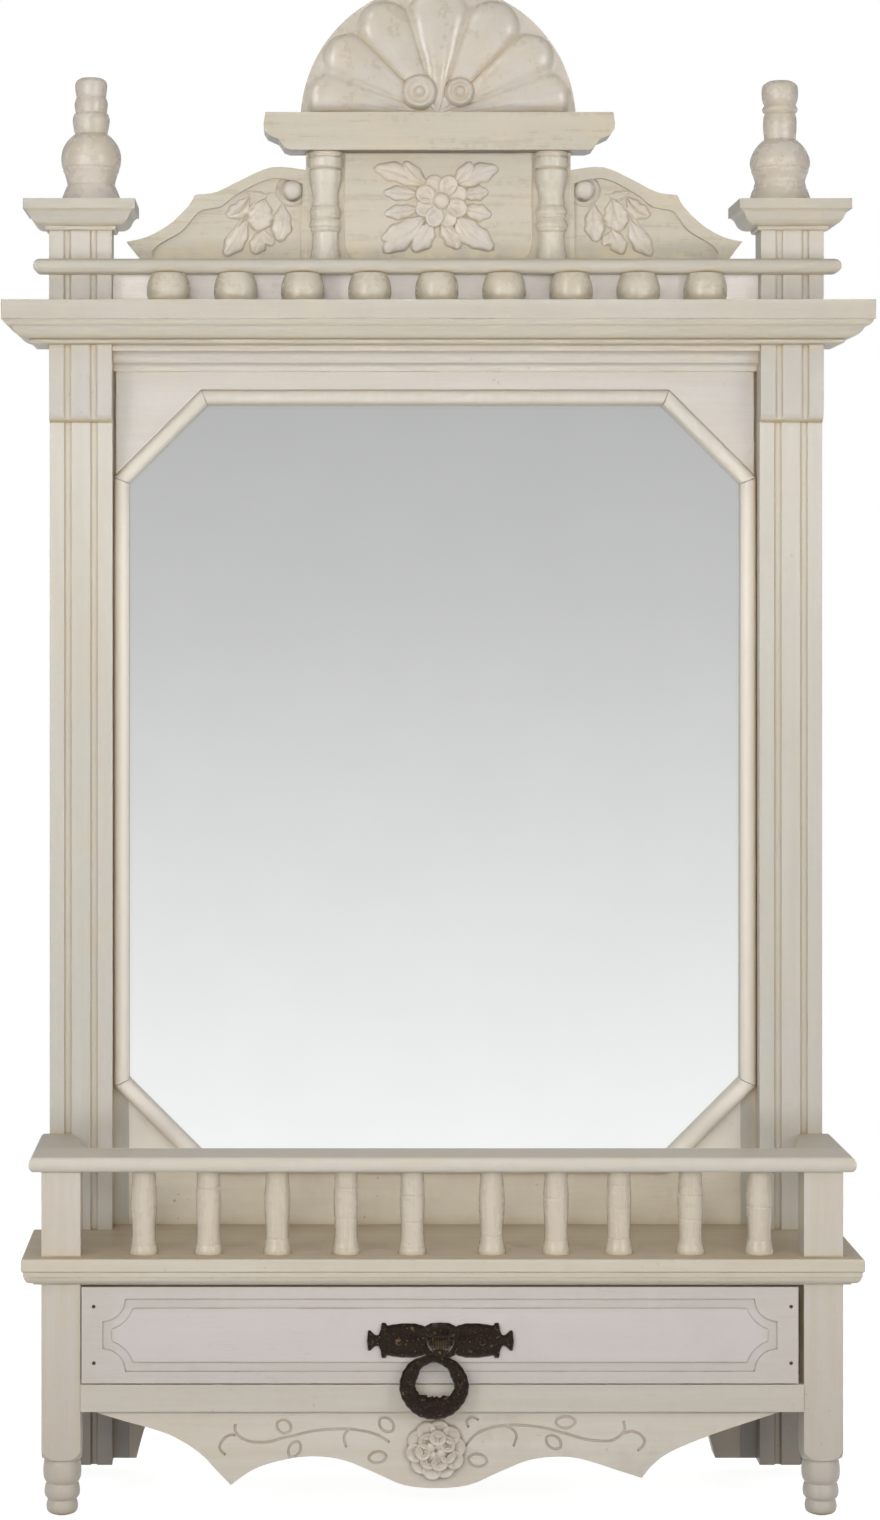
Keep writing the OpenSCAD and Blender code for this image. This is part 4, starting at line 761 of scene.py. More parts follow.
@dataclass(frozen=True)
class Leaf:
    """A carved leaf: from its base to its tip, with a midrib groove and side veins."""

    base: Point
    tip: Point
    width: float
    height: float = 2.6
    veins: int = 4
    bend: float = 0.0
    slit: float = 0.42
    fullness: float = 1.25

    def part(self) -> bmesh.types.BMesh:
        """Returns the leaf in relief."""
        base = Vector(self.base)
        run = Vector(self.tip) - base
        side = Vector((-run.y, run.x)).normalized()

        def place(u: float, v: float) -> Vector:
            """Returns a point of the leaf."""
            s = 0.5 * (u + 1.0)
            swell = math.sin(math.pi * min(1.0, s) ** self.fullness) ** 0.62 if 0.0 < s < 1.0 else 0.0
            ragged = 1.0 + 0.1 * math.cos(2.0 * math.pi * self.veins * s) * abs(v)
            spot = base + run * s + side * (0.5 * self.width * swell * v * ragged
                                            + self.bend * math.sin(math.pi * s))
            rib = self.slit * bell(v, 0.16) * (1.0 - s ** 3)
            vein = 0.08 * math.cos(2.0 * math.pi * (self.veins * s - 1.1 * abs(v))) * min(1.0, 2.0 * abs(v))
            rise = self.height * swell ** 0.5 * (rounded(v, 2.6) * (1.0 + vein) - rib)
            return Vector((spot.x, spot.y, max(rise, 0.0)))

        return relief(22, 14, place)


@dataclass(frozen=True)
class Strand:
    """A line that runs along a path: raised as a half-round stem, or round as a cutter for a scribed line."""

    path: Sequence[Point]
    width: float
    height: float = 1.5
    closed: bool = False
    spans: int = 7

    def _spot(self, s: float) -> tuple[Vector, Vector]:
        """Returns the place at the share s of the path and the direction across it."""
        path = curve_through(self.path, self.spans)
        span = s * (len(path) - 1)
        first = min(int(span), len(path) - 2)
        a, b = Vector(path[first]), Vector(path[first + 1])
        before = Vector(path[max(first - 1, 0)])
        after = Vector(path[min(first + 2, len(path) - 1)])
        if self.closed and (first == 0 or first == len(path) - 2):
            before, after = Vector(path[-2]), Vector(path[1])
        along = ((after - before) if 0 < first < len(path) - 2 or self.closed else (b - a)).normalized()
        return a.lerp(b, span - first), Vector((-along.y, along.x))

    def stem(self) -> bmesh.types.BMesh:
        """Returns the raised stem, which gets thinner towards its end."""

        def place(u: float, v: float) -> Vector:
            """Returns a point of the stem."""
            s = 0.5 * (u + 1.0)
            spot, side = self._spot(s)
            thin = 1.0 - 0.55 * s
            point = spot + side * (0.5 * self.width * v * thin)
            return Vector((point.x, point.y, self.height * thin * rounded(v) * min(1.0, 8.0 * (1.0 - s))))

        return relief(len(self.path) * self.spans, 6, place)

    def cutter(self) -> bmesh.types.BMesh:
        """Returns a round rod along the path, its middle at the surface."""

        def place(u: float, v: float) -> Vector:
            """Returns a point of the rod."""
            spot, side = self._spot(0.5 * (u + 1.0))
            turn = math.pi * (v + 1.0 / 8.0)
            point = spot + side * (0.5 * self.width * math.cos(turn))
            return Vector((point.x, point.y, self.height * math.sin(turn)))

        part = field(len(self.path) * self.spans, 8, place)
        bmesh.ops.holes_fill(part, edges=rim(part), sides=0)
        return part


def upright(x: float, forward: float, z: float) -> Matrix:
    """Returns the matrix that moves a part, still upright, to a place with its distance from the wall."""
    return Matrix.Translation((x, -forward, z))


def on_face(x: float, forward: float, z: float, turn: float = 0.0,
            size: Sequence[float] = (1.0, 1.0, 1.0)) -> Matrix:
    """Returns the matrix that lays a part, drawn flat with its height along Z, on a face turned to the front.

    Args:
        x: place to the right.
        forward: distance of the face from the wall.
        z: height.
        turn: turn of the part in its plane, in degrees.
        size: scale along the part's own axes.
    """
    return (upright(x, forward, z) @ Matrix.Rotation(math.radians(90.0), 4, "X")
            @ Matrix.Rotation(math.radians(turn), 4, "Z") @ Matrix.Diagonal((*size, 1.0)))


@dataclass(frozen=True)
class NodeBox:
    """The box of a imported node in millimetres, with forward distances from the wall."""

    left: float
    right: float
    back: float
    front: float
    low: float
    high: float

    @classmethod
    def of(cls, node: str) -> "NodeBox":
        """Returns the box of a node."""
        low, high = ([PER_METRE * value for value in corner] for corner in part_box(node))
        return cls(low[0], high[0], -high[1], -low[1], low[2], high[2])

    @property
    def middle(self) -> Place:
        """Returns the middle: x, distance from the wall and height."""
        return 0.5 * (self.left + self.right), 0.5 * (self.back + self.front), 0.5 * (self.low + self.high)


class Body(Enum):
    """Bodies that pieces ride on."""

    FRAME = "frame"
    DRAWER = "drawer"
    BAIL = "bail"


class Shape:
    """A mesh joined from parts, in millimetres, that becomes one finished piece."""

    def __init__(self) -> None:
        """Starts empty."""
        self.mesh = bmesh.new()

    @classmethod
    def copy_of(cls, node: str) -> "Shape":
        """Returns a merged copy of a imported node's mesh with flat faces joined again."""
        shape = cls()
        shape.mesh.from_mesh(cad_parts[node].data)
        bmesh.ops.scale(shape.mesh, vec=(PER_METRE,) * 3, verts=shape.mesh.verts[:])
        weld(shape.mesh, 0.002)
        bmesh.ops.dissolve_limit(shape.mesh, angle_limit=math.radians(0.5), verts=shape.mesh.verts[:],
                                 edges=shape.mesh.edges[:])
        return shape

    def take(self, part: bmesh.types.BMesh, place: Matrix | None = None) -> None:
        """Moves a part into place and joins it.

        Args:
            part: the part, which is used up.
            place: matrix that moves it.
        """
        if place is not None:
            bmesh.ops.transform(part, matrix=place, verts=part.verts[:])
        carrier = bpy.data.meshes.new("carrier")
        part.to_mesh(carrier)
        part.free()
        self.mesh.from_mesh(carrier)
        bpy.data.meshes.remove(carrier)

    def petals(self, petal: Callable[[], bmesh.types.BMesh], count: int, radius: float, start: float,
               centre: Sequence[float], lift: float, size: Sequence[float]) -> None:
        """Sets petals in a ring on a face.

        Args:
            petal: makes one petal.
            count: number of petals.
            radius: radius of the ring.
            start: angle of the first petal in degrees.
            centre: x, distance from the wall and height of the ring's middle.
            lift: how far every second petal stands forward.
            size: scale of each petal along its own axes.
        """
        x, forward, z = centre
        for k in range(count):
            turn = start + 360.0 / count * k
            dx, dz = around(turn, radius)
            self.take(petal(), on_face(x + dx, forward + lift * (k % 2), z + dz, turn, size))

    def _object(self, name: str) -> bpy.types.Object:
        """Returns an object with the mesh as it stands."""
        mesh = bpy.data.meshes.new(name)
        self.mesh.to_mesh(mesh)
        return add_object(name, mesh)

    def carve(self, cutter: "Shape") -> "Shape":
        """Cuts another closed shape away.

        Args:
            cutter: the shape to remove, which is used up.

        Returns:
            The shape itself.
        """
        for shape in (self, cutter):
            bmesh.ops.recalc_face_normals(shape.mesh, faces=shape.mesh.faces[:])
        body, tool = self._object("carved"), cutter._object("cutter")
        cut = body.modifiers.new("cut", "BOOLEAN")
        cut.operation, cut.solver, cut.object, cut.use_self = "DIFFERENCE", "EXACT", tool, True
        result = bpy.data.meshes.new_from_object(body.evaluated_get(bpy.context.evaluated_depsgraph_get()))
        self.mesh.clear()
        self.mesh.from_mesh(result)
        for made in (body, tool):
            mesh = made.data
            bpy.data.objects.remove(made)
            bpy.data.meshes.remove(mesh)
        bpy.data.meshes.remove(result)
        return self

    def finish(self, name: str, finish: Finish, body: Body, slot: str, stands_for: Sequence[str] = (),
               crease: float = 40.0, seen_in_glass: bool = True) -> None:
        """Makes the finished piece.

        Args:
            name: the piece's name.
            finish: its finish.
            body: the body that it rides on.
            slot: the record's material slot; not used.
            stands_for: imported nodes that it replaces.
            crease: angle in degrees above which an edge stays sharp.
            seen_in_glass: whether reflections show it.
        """
        weld(self.mesh)
        bmesh.ops.recalc_face_normals(self.mesh, faces=self.mesh.faces[:])
        bmesh.ops.scale(self.mesh, vec=(1.0 / PER_METRE,) * 3, verts=self.mesh.verts[:])
        for edge in self.mesh.edges:
            edge.smooth = len(edge.link_faces) == 2 and edge.calc_face_angle() < math.radians(crease)
        for face in self.mesh.faces:
            face.smooth = True
        piece = self._object(name)
        self.mesh.free()
        piece.data.materials.append(WORKSHOP.material(finish))
        piece.visible_glossy = seen_in_glass
        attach(piece, body.value)
        if stands_for:
            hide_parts(*stands_for)
        log.info("made %s with %d faces", name, len(piece.data.polygons))


# Studio


@dataclass(frozen=True)
class Lamp:
    """A rectangular lamp that faces a point: its power in watts, and its cone of light in degrees."""

    name: str
    place: Place
    size: Point
    power: float
    colour: Colour = (1.0, 0.99, 0.98)
    aim: Place = (0.0, 0.0, 0.52)
    spread: float = 180.0
    reflected: bool = True

    def add(self) -> None:
        """Puts the lamp in the scene."""
        data = bpy.data.lights.new(self.name, "AREA")
        data.shape = "RECTANGLE"
        data.size, data.size_y = self.size
        data.energy = self.power
        data.color = self.colour
        data.spread = math.radians(self.spread)
        lamp = add_object(self.name, data)
        lamp.location = self.place
        lamp.rotation_euler = (Vector(self.aim) - Vector(self.place)).to_track_quat("-Z", "Y").to_euler()
        lamp.visible_glossy = self.reflected


@dataclass
class Studio:
    """Camera, pale floor, white surroundings and soft lamps, in metres."""

    camera_at: Place = (-0.104, -2.45, 0.619)
    lens: float = 79.3
    shift: Point = (0.0977, -0.102)
    floor_z: float = -0.0112
    floor_r: float = 1.15
    lamps: Sequence[Lamp] = (
        Lamp("left_lamp", (-1.15, -1.7, 0.86), (0.6, 0.8), 9.5),
        Lamp("right_lamp", (1.25, -1.7, 0.86), (0.6, 0.8), 8.5),
        Lamp("front_lamp", (-0.25, -2.3, 0.95), (0.4, 0.3), 6.0, reflected=False),
        Lamp("low_lamp", (-0.1, -1.5, 0.12), (0.9, 0.35), 2.1, (1.0, 0.99, 0.97), (0.0, 0.0, 0.83), 80.0,
             False),
        Lamp("gloss_lamp", (-0.75, -1.2, 1.75), (0.3, 0.3), 0.6, (1.0, 1.0, 1.0), (0.0, 0.0, 1.0), 90.0),
        Lamp("crest_lamp", (0.0, -1.6, 0.856), (1.0, 0.08), 0.25, (1.0, 0.98, 0.95), (0.0, 0.0, 0.856), 24.0,
             False))
    room: Sequence[Point] = (
        (-1.0, 0.35), (-0.3, 0.6), (-0.17, 1.03), (-0.09, 0.835), (0.0, 0.62), (0.06, 0.53), (0.16, 0.42),
        (0.4, 0.5), (1.0, 0.72))
    unmirrored: Sequence[str] = (
        "gallery_front_rail", "gallery_side_rails", "gallery_posts", "shelf_board", "under_shelf_board",
        "left_leg", "right_leg", "side_panels", "drawer_runners", "drawer_rail", "drawer_front",
        "drawer_sides", "drawer_back", "drawer_bottom", "drawer_nails", "handle_screws", "bail_pin")

    def camera(self) -> None:
        """Places the camera level, square to the wall plane."""
        data = bpy.data.cameras.new("camera")
        data.lens = self.lens
        data.sensor_width = 36.0
        data.sensor_fit = "AUTO"
        data.shift_x, data.shift_y = self.shift
        data.clip_start = 0.05
        camera = add_object("camera", data)
        camera.location = self.camera_at
        camera.rotation_euler = (math.radians(90.0), 0.0, 0.0)
        bpy.context.scene.camera = camera

    def floor(self) -> None:
        """Makes the round pale floor."""
        shape = bmesh.new()
        bmesh.ops.create_circle(shape, cap_ends=True, segments=96, radius=self.floor_r,
                                matrix=Matrix.Translation((0.0, 0.0, self.floor_z)))
        mesh = bpy.data.meshes.new("studio_floor")
        shape.to_mesh(mesh)
        shape.free()
        floor = add_object("studio_floor", mesh)
        material, w, shader, coords = start_material("studio_floor", Specular_IOR_Level=0.0, Roughness=0.9,
                                                     Emission_Color=(1.0, 1.0, 1.0, 1.0))
        tone = w.noise(coords, 3.0, 2.0, 0.5)
        w.send(w.mix(tone, (0.34, 0.34, 0.34), (0.36, 0.36, 0.36)), shader.inputs["Base Color"])
        path = w.add("ShaderNodeLightPath").outputs
        seen = w.plus(path["Is Camera Ray"], path["Is Glossy Ray"], clamp=True)
        w.send(w.times(seen, 0.9), shader.inputs["Emission Strength"])
        mesh.materials.append(material)

    def surroundings(self) -> None:
        """Makes a white backdrop, and for reflections a room that is brightest a little below eye level."""
        world = bpy.data.worlds.new("studio")
        world.use_nodes = True
        world.node_tree.nodes.clear()
        w = Wiring(world.node_tree)
        coords = w.add("ShaderNodeTexCoord").outputs["Generated"]
        height = w.add("ShaderNodeSeparateXYZ", {0: coords}).outputs["Z"]
        place = w.add("ShaderNodeMapRange", {0: height, 1: -1.0, 2: 1.0}).outputs[0]
        ramp = w.add("ShaderNodeValToRGB", {0: place})
        elements = ramp.color_ramp.elements
        while len(elements) < len(self.room):
            elements.new(1.0)
        for element, (z, tone) in zip(elements, self.room):
            element.position = (z + 1.0) / 2.0
            element.color = (tone, tone, tone, 1.0)
        room = w.add("ShaderNodeBackground", {"Color": ramp.outputs[0], "Strength": 1.0})
        white = w.add("ShaderNodeBackground", {"Color": (1.0, 1.0, 1.0, 1.0), "Strength": 1.0})
        seen = w.add("ShaderNodeLightPath").outputs["Is Camera Ray"]
        both = w.add("ShaderNodeMixShader", {0: seen, 1: room.outputs[0], 2: white.outputs[0]})
        w.add("ShaderNodeOutputWorld", {"Surface": both.outputs[0]})
        bpy.context.scene.world = world

    def build(self) -> None:
        """Sets up the whole studio, and keeps what stands before the glass out of it, as the photo does."""
        self.camera()
        self.floor()
        self.surroundings()
        for name in self.unmirrored:
            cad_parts[name].visible_glossy = False
        for lamp in self.lamps:
            lamp.add()
        bpy.context.scene.view_settings.view_transform = "Standard"


# Sub-assemblies


@dataclass
class WallFrame:
    """Boards, stiles, bead and glass."""

    def build(self) -> None:
        """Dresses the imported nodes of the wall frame."""
        WORKSHOP.dress(CREAM, "left_stile", "right_stile")
        WORKSHOP.dress(SHADE, "left_side_board", "right_side_board")
        WORKSHOP.dress(FOOT, "foot_board")
        WORKSHOP.dress(CAPITAL, "capital_blocks")
        WORKSHOP.dress(BEAD, "opening_bead", "corner_spandrels")
        WORKSHOP.dress(LINTEL, "head_board", "frieze_strip", "cove_moulding")
        WORKSHOP.dress(SILVERED, "mirror_glass")
        WORKSHOP.dress(BOARD, "mirror_back_panel")
        WORKSHOP.dress(BARE, "back_panel_blocks")
        WORKSHOP.dress(STEEL, "hanger_plates", "hanger_screws")


@dataclass
class Cornice:
    """Cornice, buns, rail and pinnacles with their turned finials. Sizes in millimetres."""

    finial_r: float = 22.2
    finial_h: float = 92.0
    tenon: float = 10.0
    line_depth: float = 0.55
    line_share: float = 0.006
    left_turning: Sequence[Sequence[Point]] = (
        ((1.0, 0.0), (0.99, 0.011), (0.9, 0.069), (0.79, 0.133)),
        ((0.78, 0.142), (0.79, 0.165), (0.852, 0.222), (0.926, 0.267), (0.974, 0.349), (0.915, 0.426),
         (0.757, 0.49), (0.566, 0.534)),
        ((0.535, 0.547), (0.582, 0.605), (0.603, 0.656), (0.556, 0.697)),
        ((0.51, 0.713), (0.542, 0.777), (0.5, 0.818)),
        ((0.487, 0.841), (0.524, 0.911), (0.51, 0.94), (0.46, 0.962), (0.344, 0.978)))
    right_turning: Sequence[Sequence[Point]] = (
        ((1.0, 0.0), (1.0, 0.02), (0.924, 0.08), (0.87, 0.118)),
        ((0.85, 0.13), (0.808, 0.168), (0.851, 0.204), (0.94, 0.267), (0.967, 0.329), (0.886, 0.391),
         (0.752, 0.443), (0.585, 0.484)),
        ((0.51, 0.505), (0.542, 0.599), (0.529, 0.671), (0.497, 0.695)),
        ((0.53, 0.708), (0.576, 0.733), (0.53, 0.76)),
        ((0.53, 0.78), (0.576, 0.816), (0.589, 0.879), (0.559, 0.92), (0.46, 0.943), (0.353, 0.956)))
    left_lines: Sequence[float] = (0.137, 0.267, 0.541, 0.705, 0.829)
    right_lines: Sequence[float] = (0.111, 0.124, 0.267, 0.495, 0.702, 0.77)

    def build(self) -> None:
        """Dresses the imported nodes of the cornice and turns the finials."""
        WORKSHOP.dress(CORNICE, "cornice_core", "cornice_front", "cornice_returns", "top_rail",
                       "pinnacle_caps")
        WORKSHOP.dress(POST, "pinnacle_posts")
        WORKSHOP.dress(BUN, "cornice_buns")
        self.finials()

    def finials(self) -> None:
        """Turns the two finials, which aren't quite alike."""
        box = NodeBox.of("finials")
        away, forward = -box.left - self.finial_r, box.middle[1]
        shape = Shape()
        for x, runs, lines in ((-away, self.left_turning, self.left_lines),
                               (away, self.right_turning, self.right_lines)):
            curve = [point for run in runs for point in curve_through(run, 6)]
            cut = scribed(lines, self.line_depth, self.line_share)
            profile = turned(curve, self.finial_r, self.finial_h, 180, cut, curve[-1][1])
            shape.take(lathe(profile, 40), upright(x, forward, box.low + self.tenon))
        shape.finish("turned_finials", FINIAL, Body.FRAME, "turned_paint", ["finials"], crease=50.0)


@dataclass
class Crest:
    """Carved crest: shell with scrolls, flower with leaves, wings and split columns. Sizes in millimetres."""

    shell_r: float = 99.5
    shell_sink: float = 4.4
    shell_relief: float = 10.0
    shell_t: float = 14.0
    lobes: int = 7
    lobe_share: float = 0.88
    petal_count: int = 8
    petal_ring: float = 12.4
    petal_r: float = 7.1
    button_r: float = 6.2
    boss_r: float = 6.9
    boss_at: Point = (105.6, 918.4)
    sunk: float = 3.0
    scroll_sizes: Sequence[Point] = ((-13.9, 13.0), (15.3, 10.8))
    scroll_rise: float = 16.5
    column_r: float = 13.0
    column_low: float = 858.0
    column_away: float = 81.5
    line_depth: float = 0.9
    line_share: float = 0.009
    column_lines: Sequence[float] = (0.34, 0.372, 0.45, 0.482, 0.556, 0.862, 0.965)
    column_profile: Sequence[Sequence[Point]] = (
        ((0.94, 0.0), (0.915, 0.09), (0.76, 0.21), (0.73, 0.3), (0.75, 0.333)),
        ((0.84, 0.35), (0.91, 0.394), (0.8, 0.44)), ((0.846, 0.463), (0.9, 0.502), (0.8, 0.54)),
        ((0.754, 0.583), (0.723, 0.646), (0.8, 0.703), (0.915, 0.77), (0.923, 0.847)),
        ((0.885, 0.865), (0.954, 0.885), (0.954, 0.977), (0.94, 1.0)))
    flower_leaves: Sequence[Leaf] = (
        Leaf((-12.0, 10.5), (-49.0, 24.5), 15.0, 3.0, 3, -2.5),
        Leaf((-9.0, 11.5), (-27.0, 29.0), 11.5, 3.2, 2, 1.5),
        Leaf((-15.0, 5.0), (-42.0, 6.5), 11.0, 3.2, 3), Leaf((-15.0, -5.5), (-41.0, -9.0), 11.0, 3.2, 3),
        Leaf((-13.0, -10.0), (-43.5, -28.0), 14.0, 3.2, 3, 1.5),
        Leaf((-11.0, -11.0), (-42.0, -37.0), 17.5, 3.6, 3),
        Leaf((-6.0, -13.0), (-20.5, -36.5), 15.5, 3.4, 3, 1.5),
        Leaf((-1.0, -14.0), (13.5, -34.5), 13.5, 3.4, 3), Leaf((9.0, -10.5), (25.0, -33.0), 13.5, 3.2, 3),
        Leaf((10.0, -9.0), (38.0, -35.0), 17.0, 3.6, 3, -1.5),
        Leaf((14.0, -5.0), (36.5, -10.0), 12.5, 3.2, 3), Leaf((14.0, 4.5), (34.5, 7.0), 11.5, 3.2, 3),
        Leaf((8.0, 11.5), (22.0, 28.5), 12.0, 3.2, 2, -1.5),
        Leaf((11.0, 9.5), (41.5, 24.5), 15.0, 3.0, 3, 2.5))
    wing_leaves: Sequence[Leaf] = (
        Leaf((138.8, 917.8), (123.6, 914.2), 7.0, 1.9, 3, 1.2),
        Leaf((136.2, 914.2), (153.2, 899.6), 13.5, 3.2, 3, -3.0, 0.85),
        Leaf((124.8, 890.5), (133.8, 872.2), 13.0, 2.7, 3), Leaf((127.4, 889.0), (119.0, 878.6), 8.6, 2.2, 3),
        Leaf((137.9, 897.5), (154.6, 871.0), 14.5, 3.0, 3, -1.5),
        Leaf((125.4, 913.0), (131.2, 888.6), 19.5, 3.5, 4),
        Leaf((112.4, 909.4), (114.6, 880.8), 15.0, 3.3, 3, -0.8))
    wing_stem: Strand = Strand(
        ((152.0, 884.0), (142.0, 897.0), (133.0, 909.0), (124.0, 915.5), (117.5, 916.5)), 3.0, 1.6)

    def build(self) -> None:
        """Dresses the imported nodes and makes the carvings."""
        WORKSHOP.dress(CREST, "crest_panel", "left_crest_wing", "right_crest_wing", "crest_plate")
        WORKSHOP.dress(PINKISH, "crest_base_board")
        self.panel = NodeBox.of("crest_panel")
        self.front = NodeBox.of("crest_base_board").front
        self.centre_x = self.panel.middle[0]
        self.shell()
        self.scrolls()
        self.flower()
        self.wing("left_wing_leaves", -1.0)
        self.wing("right_wing_leaves", 1.0)
        self.columns()

    def _shell_point(self, u: float, v: float) -> Vector:
        """Returns a point of the shell's front, from left to right and from the hub to the rim."""
        angle = 90.0 - 90.0 * u
        turn = math.radians(angle)
        s = 0.5 * (v + 1.0)
        warped = min(angle + 6.5 * math.sin(2.0 * turn), 179.99)
        across = 2.0 * ((warped * self.lobes / 180.0) % 1.0) - 1.0
        sink = self.shell_sink
        outer = math.sqrt(self.shell_r ** 2 - (sink * math.cos(turn)) ** 2) - sink * math.sin(turn)
        edge = 0.985 - (0.06 + 0.09 * math.sin(turn)) * across ** 2
        inside = min(1.0, s / self.lobe_share)
        beyond = max(0.0, (s - self.lobe_share) / (1.0 - self.lobe_share))
        reach = edge * inside + beyond * (1.0 - edge)
        swell = 0.28 + 0.72 * inside ** 1.15
        flute = 0.09 * bell(abs(across) - 0.42, 0.09) * (1.0 - inside)
        flute += 0.10 * bell(across, 0.07) * (1.0 - inside) ** 2
        rise = self.shell_relief * swell * (0.2 + 0.8 * rounded(across, 1.75) - flute) * rounded(inside, 11.0)
        hub = max(0.0, 1.0 - inside / 0.3)
        rise = rise * (1.0 - hub) + 0.4 * self.shell_relief * hub
        wander = 0.18 * math.sin(23.0 * reach + 3.1 * across) * math.sin(0.11 * angle)
        height = self.shell_t + rise + (wander if inside < 0.97 else 0.0)
        return Vector((reach * outer * math.cos(turn), reach * outer * math.sin(turn), height))

    def shell(self) -> None:
        """Carves the fluted shell."""
        plate = NodeBox.of("crest_plate")
        shape = Shape()
        shape.take(relief(self.lobes * 20, 34, self._shell_point, 0.0),
                   on_face(self.centre_x, plate.back, plate.high))
        shape.finish("carved_shell", CARVED, Body.FRAME, "carved_paint", ["crest_shell"], crease=60.0)

    def scrolls(self) -> None:
        """Carves the two scrolls with their balls at the shell's foot."""
        plate = NodeBox.of("crest_plate")
        shape = Shape()
        for x, size in self.scroll_sizes:

            def place(u: float, v: float) -> Vector:
                """Returns a point of one scroll."""
                turn, share = math.pi * u, 0.5 * (v + 1.0)
                r = share * size
                ball = 6.4 * rounded(min(1.0, r / 4.5))
                ring = 2.2 + 2.9 * bell(share - 0.76, 0.2) + 0.5 * math.cos(turn - 1.2)
                return Vector((r * math.cos(turn), r * math.sin(turn), max(ball, ring) * rounded(share, 7.0)))

            shape.take(relief(48, 26, place, -1.0),
                       on_face(self.centre_x + x, plate.back + self.shell_t + 4.0,
                               plate.high + self.scroll_rise))
        shape.finish("shell_volutes", CARVED, Body.FRAME, "carved_paint", ["shell_scrolls"], crease=60.0)

    def flower(self) -> None:
        """Carves the flower with its button, its ring of petals and its leaves."""
        x, _, z = NodeBox.of("crest_flower").middle
        face = self.panel.front
        shape = Shape()
        for leaf in self.flower_leaves:
            shape.take(leaf.part(), on_face(x, face, z))
        shape.petals(lambda: dish(self.petal_r, 3.4), self.petal_count, self.petal_ring, 22.0,
                     (x, face + 0.3, z), 0.5, (1.08, 0.98, 1.0))
        r = self.button_r
        button = lathe([(0.0, -1.0), (r + 1.6, -1.0), (r + 1.2, 3.6), (r, 4.0), (r - 0.2, 5.0),
                        (r * 0.86, 6.2), (r * 0.5, 7.1), (0.0, 7.4)], 30)
        shape.take(button, on_face(x, face, z))
        shape.finish("crest_blossom", CARVED, Body.FRAME, "carved_paint", ["crest_flower"], crease=62.0)

    def wing(self, name: str, side: float) -> None:
        """Carves the leaves, stem and volute of one wing.

        Args:
            name: the piece's name.
            side: -1 for the left wing, 1 for the right one.
        """
        sunk, r = self.front - self.sunk, self.boss_r
        mirror = Matrix.Translation((self.centre_x, 0.0, 0.0)) @ Matrix.Diagonal((side, 1.0, 1.0, 1.0))
        shape = Shape()
        for part in (*(leaf.part() for leaf in self.wing_leaves), self.wing_stem.stem()):
            shape.take(part, mirror @ on_face(0.0, sunk, 0.0))
        volute = lathe([(0.0, -0.8), (r + 5.0, -0.8), (r + 4.8, 0.5), (r + 3.2, 1.7), (r + 1.5, 0.9),
                        (r + 0.2, 0.5), (r, 3.4), (r + 0.1, 5.0), (r - 0.9, 6.9), (r * 0.55, 8.4),
                        (0.0, 8.9)], 32)
        boss_x, boss_z = self.boss_at
        shape.take(volute, mirror @ on_face(boss_x, sunk, boss_z))
        shape.finish(name, LEAFAGE, Body.FRAME, "carved_paint", crease=62.0)

    def columns(self) -> None:
        """Turns the two split columns beside the panel."""
        curve = [point for run in self.column_profile for point in curve_through(run, 4)]
        profile = turned(curve, self.column_r, self.panel.high - self.column_low, 140,
                         scribed(self.column_lines, self.line_depth, self.line_share))
        shape = Shape()
        for away in (-self.column_away, self.column_away):
            shape.take(lathe(profile, 28, 180.0), upright(self.centre_x + away, self.front, self.column_low))
        shape.finish("split_columns", COLUMN, Body.FRAME, "turned_paint", ["crest_columns"], crease=50.0)


